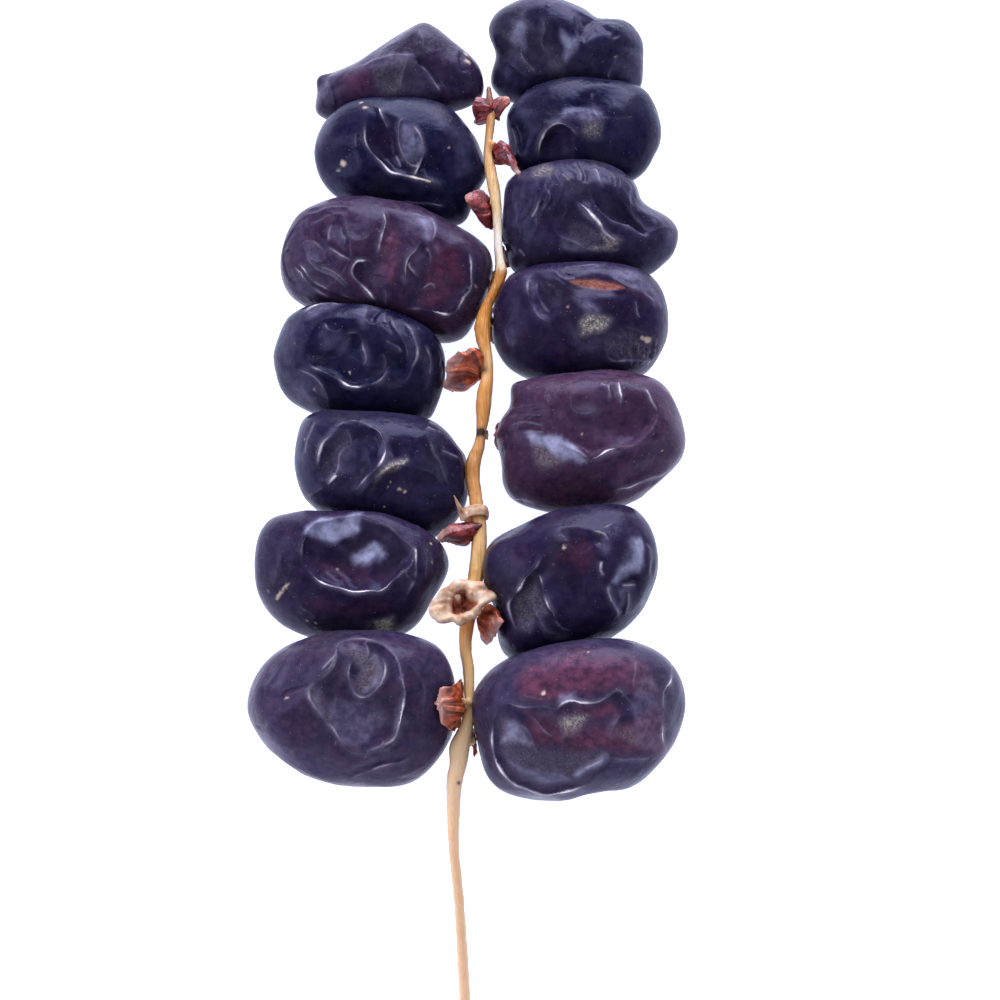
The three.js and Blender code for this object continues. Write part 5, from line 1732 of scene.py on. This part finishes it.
# %% Shape the caps
CAP_VOXEL = 0.17
CAP_ROUNDS = 3
FIRST_CAP_SEED = 20
KEELS = 5
KEEL_HEIGHT = 0.13
RIBS = 13
RIB_HEIGHT = 0.05
CAP_UNEVEN = 0.12
RIM_WAVE = 0.3
# How wine-red each cap is, from 0 for orange-brown to 1.
WINE = {"cap_left_1": 0.9, "cap_right_1": 0.7, "cap_left_2": 0.9, "cap_right_2": 1.0,
        "cap_left_6": 0.9, "cap_right_6": 0.15, "cap_left_4": 0.1, "cap_left_7": 0.05,
        "cap_right_7": 0.5}


def cap_piece(name, seed):
    mesh = evaluated(solid_of(name), "REMESH", mode="VOXEL", voxel_size=CAP_VOXEL)
    move_corners(mesh, pulled(name, smoothed(mesh, CAP_ROUNDS)))
    corners = corners_of(mesh)
    normals = normals_of(mesh)
    middle = corners.mean(axis=0)
    held = stem_line[np.linalg.norm(stem_line - middle, axis=1).argmin()]
    axis = (middle - held) / np.linalg.norm(middle - held)
    run = (corners - middle) @ axis
    rim = smooth_step(0.35, 1.0, (run - run.min()) / np.ptp(run))
    sideways = np.cross(axis, (0, 0, 1))
    sideways /= np.linalg.norm(sideways)
    upward = np.cross(sideways, axis)
    round_axis = np.arctan2((corners - middle) @ upward, (corners - middle) @ sideways)
    turned = round_axis + 0.35 * waves(corners, 2.5, seed)
    keels = 1 - 2 * np.abs(np.sin(turned * KEELS / 2 + seed))
    ribs = np.sin(turned * RIBS + seed)
    uneven = waves(corners, 1.8, seed + 50)
    height = keels * KEEL_HEIGHT + ribs * RIB_HEIGHT + uneven * CAP_UNEVEN
    wave = waves(corners, 2.6, seed + 70) * rim * RIM_WAVE
    move_corners(mesh, corners + normals * height[:, None] + axis * wave[:, None])
    set_attribute(mesh, "rim", rim)
    set_attribute(mesh, "valley", np.clip(0.5 - 0.5 * keels - 0.25 * ribs, 0, 1))
    set_attribute(mesh, "wine", np.full(len(corners), WINE.get(name, 0.5)))
    return mesh


# %% [markdown]
# Dried leather is mottled, so two ramps over the same noise give an orange and a wine-red version,
# and each cap mixes the two. The valleys carry painted shade in dark red-brown, and the rim is worn
# pale.

# %% Material of the caps
CAP_MOTTLE = 1.6
CAP_GRAIN = 0.4
ORANGE_LEATHER = [(0.3, "#7c260e"), (0.45, "#b84a1c"), (0.58, "#d97238"), (0.75, "#ea9c6c")]
WINE_LEATHER = [(0.3, "#40101a"), (0.45, "#7a2028"), (0.58, "#a03c38"), (0.75, "#c8746c")]


def leathery_cap():
    """Dried flower leather: satin, mottled from orange to wine-red, with a pale worn rim."""
    material, tree, shader = new_material("dried flower leather")
    place = object_place(tree)
    mottle = noise(place, CAP_MOTTLE, Detail=4.0, Roughness=0.65)
    fine = noise(place, CAP_GRAIN, Detail=3.0)
    orange = ramp(mottle, ORANGE_LEATHER)
    leather = mix(attribute(tree, "wine"), orange, ramp(mottle, WINE_LEATHER))
    sunk = plus(attribute(tree, "valley"), times(fine, 0.3))
    edge = calc("POWER", attribute(tree, "rim"), 4.0)
    worn = times(edge, plus(fine, 0.3), True)
    base = layered(leather, [
        # painted shade in the valleys
        (times(between(sunk, 0.6, 1.1), 0.75), colour("#4a1410")),
        (times(worn, 0.85), colour("#ecc0aa")),
    ])
    bumps = add(tree, "ShaderNodeBump", Strength=0.6, Distance=0.0002, Height=fine)
    feed(tree, shader, Base_Color=base, Roughness=0.38, IOR=1.5, Subsurface_Weight=0.2,
         Subsurface_Radius=(1.0, 0.35, 0.2), Subsurface_Scale=0.001, Normal=bumps.outputs[0])
    return material


cap_leather = leathery_cap()
for index, name in enumerate(cap_names):
    cap = grown(cap_piece(name, FIRST_CAP_SEED + index), wrinkles, Depth=0.05, Size=0.9,
                Stretch=EVEN, Seed=float(index), Material=cap_leather)
    finish_piece(name + "_leather", cap, name)
print("caps set:", len(cap_names))

# %% [markdown]
# One flower cap is empty: its fruit has dropped, and the three lobes have dried to a pale, wavy
# cup round a dark hole with a small nub in it. A cup is a solid of rings, so its outline and the
# outline of its hole are drawn as places, and rings between them rise to a lip and dive under.

# %% Shape the empty cap
CUP_MIDDLE = (461, 602)
CUP_TOP = 17.9
CUP_OUTLINE = [(465, 577), (452, 582), (440, 592), (431, 601), (428, 608), (433, 618), (441, 622),
               (452, 621), (459, 625), (468, 622), (478, 614), (484, 605), (494, 597), (491, 591),
               (485, 588), (481, 579)]
HOLE_OUTLINE = [(464, 589), (455, 594), (452, 603), (454, 612), (462, 611), (471, 607), (475, 601),
                (469, 598)]
CUP_SIDES = 120
# Waves of the lip: how many round it, how high in millimetres, and where they start.
LIP_WAVES = [(3, 0.28, 0.8), (7, 0.16, 2)]
# The rings after this share of them are the underside.
UNDER_FROM = 0.62
CUP_CREASES = 11
CREASE_HEIGHT = 0.08
CUP_UNEVEN = 0.14
# How much the profile is enlarged while it is divided into steps.
PROFILE_FINENESS = 20.0
# The dried seed stub and a torn tongue inside the cup: place, radius and height in millimetres.
CUP_LUMPS = [(458, 599, 0.65, 1.3), (470, 596, 0.7, 1.5)]
# From the nub's foot over the lip to the underside: share of the way from the hole's outline (0)
# to the cup's (1), or below 0 inside the hole, and the height against the lip.
CUP_PROFILE = [(-1, -2.3), (-0.7, -2.3), (-0.3, -2.2), (-0.05, -1.4), (0.1, -0.6), (0.3, -0.15),
               (0.55, 0.05), (0.8, -0.1), (0.95, -0.35), (1.0, -0.65), (0.96, -1.0), (0.8, -1.5),
               (0.5, -2.1), (0.1, -2.6), (-0.5, -2.8), (-1, -2.8)]


def radius_round(outline, angles):
    """How far an outline of picture places is from the cup's middle at each angle, in millimetres."""
    steps = (curve_through(outline, True) - np.array(CUP_MIDDLE)) * (1, -1) * MM_PER_PIXEL
    around = np.arctan2(steps[:, 1], steps[:, 0])
    order = np.argsort(around)
    return np.interp(angles, around[order], np.linalg.norm(steps[order], axis=1), period=2 * math.pi)


def cup_piece():
    angles = np.linspace(0, 2 * math.pi, CUP_SIDES, endpoint=False)
    outer = radius_round(CUP_OUTLINE, angles)
    inner = radius_round(HOLE_OUTLINE, angles)
    profile = curve_through(np.array(CUP_PROFILE) * PROFILE_FINENESS, False) / PROFILE_FINENESS
    ray = ray_to(CUP_MIDDLE)
    middle = camera_place + ray * (CUP_TOP - camera_place[2]) / ray[2]
    rings = []
    for share, rise in profile[1:-1]:
        radius = inner * (1 + share) if share < 0 else inner + (outer - inner) * share
        wave = sum(high * np.sin(count * angles + start) for count, high, start in LIP_WAVES)
        level = middle[2] + rise + wave * smooth_step(0, 1, np.array(abs(share)))
        ring = np.stack([middle[0] + np.cos(angles) * radius, middle[1] + np.sin(angles) * radius,
                         np.full(CUP_SIDES, level)], axis=1)
        rings.append(ring)
    ends = [middle[None] + (0, 0, profile[end, 1]) for end in (0, -1)]
    corners = np.concatenate(rings + ends)
    faces = []
    for ring in range(len(rings) - 1):
        for k in range(CUP_SIDES):
            a, b = ring * CUP_SIDES + k, ring * CUP_SIDES + (k + 1) % CUP_SIDES
            faces.append((a, a + CUP_SIDES, b + CUP_SIDES, b))
    last = (len(rings) - 1) * CUP_SIDES
    for k in range(CUP_SIDES):
        following = (k + 1) % CUP_SIDES
        faces.append((len(corners) - 2, k, following))
        faces.append((len(corners) - 1, last + following, last + k))
    mesh = mesh_from("empty_cap_husk", corners, faces)
    shares = np.concatenate([np.repeat(profile[1:-1, 0], CUP_SIDES), [-1, -1]])
    below = np.arange(len(rings)) > len(rings) * UNDER_FROM
    under = np.concatenate([np.repeat(below, CUP_SIDES), [False, True]])
    inside = (1 - smooth_step(-0.15, 0.25, shares)) * ~under
    seen = place_of(corners)
    for across, down, radius, rise in CUP_LUMPS:
        distance = np.linalg.norm(seen - (across, down), axis=1) * MM_PER_PIXEL
        lump = np.exp(-(distance / radius) ** 4) * ~under
        corners[:, 2] += lump * rise
        inside *= 1 - 0.85 * lump
    move_corners(mesh, corners)
    normals = normals_of(mesh)
    around = np.arctan2(corners[:, 1] - middle[1], corners[:, 0] - middle[0])
    creases = np.sin(around * CUP_CREASES + waves(corners, 2, 5) * 2)
    height = (creases * CREASE_HEIGHT + waves(corners, 1.8, 8) * CUP_UNEVEN) * (1 - inside)
    move_corners(mesh, corners + normals * height[:, None])
    set_attribute(mesh, "inside", inside)
    return mesh


# %% [markdown]
# Husk is papery and pale on the outside, with painted shade on its steep flanks, and dark
# red-brown inside the hole, where the seed hung. The collar further on is made of the same stuff.

# %% Material of the husk
HUSK_MOTTLE = 1.8
HUSK_GRAIN = 0.5
HUSK_COLOURS = [(0.3, "#8f5a3a"), (0.42, "#c89a70"), (0.55, "#e2c096"), (0.7, "#f2dcb8")]
INSIDE_COLOURS = [(0.35, "#54200f"), (0.6, "#b0603c")]


def papery_husk():
    material, tree, shader = new_material("papery husk")
    place = object_place(tree)
    mottle = noise(place, HUSK_MOTTLE, Detail=4.0)
    fine = noise(place, HUSK_GRAIN, Detail=2.0)
    flank = between(attribute(tree, "flank"), 0.2, 0.8)
    base = layered(ramp(mottle, HUSK_COLOURS), [
        # painted shade on the steep flanks
        (times(flank, 0.7), colour("#a46a44")),
        (attribute(tree, "inside"), ramp(mottle, INSIDE_COLOURS)),
    ])
    bumps = add(tree, "ShaderNodeBump", Strength=0.4, Distance=0.00015, Height=fine)
    feed(tree, shader, Base_Color=base, Roughness=0.6, IOR=1.5, Normal=bumps.outputs[0])
    return material


husk = papery_husk()
cup = grown(cup_piece(), wrinkles, Depth=0.04, Size=1.2, Stretch=EVEN, Seed=1.0, Material=husk)
print("corners of the cup:", len(cup.vertices))
mark_flank_shade(cup)
finish_piece("empty_cap_husk", cup, "empty_cap")

# %% [markdown]
# The collar is a torn sleeve of the same husk round the stem, with one stiff pale awn. Its solid
# already has both forms, so it only needs a fine remesh, a little smoothing and its own wrinkles.

# %% Shape the dry collar and its awn
COLLAR_VOXEL = CAP_VOXEL * 0.9
COLLAR_ROUNDS = 2

collar = evaluated(solid_of("dry_collar"), "REMESH", mode="VOXEL", voxel_size=COLLAR_VOXEL)
move_corners(collar, smoothed(collar, COLLAR_ROUNDS))
set_attribute(collar, "inside", np.zeros(len(collar.vertices)))
collar = grown(collar, wrinkles, Depth=0.06, Size=0.9, Stretch=(1.0, 0.4, 1.0), Seed=2.0, Material=husk)
mark_flank_shade(collar)
finish_piece("dry_collar_husk", collar, "dry_collar")
print("corners of the collar:", len(collar.vertices))

# %% [markdown]
# At the end the pieces and their triangles are counted.

# %% Count the pieces
meshes = [piece for piece in bpy.context.scene.objects if piece.type == "MESH"]
finished = [piece for piece in meshes if piece.name.endswith(ENDINGS)]
triangles = [sum(len(face.vertices) - 2 for face in piece.data.polygons) for piece in finished]
print("pieces:", len(triangles), "triangles in all:", sum(triangles), "most:", max(triangles))
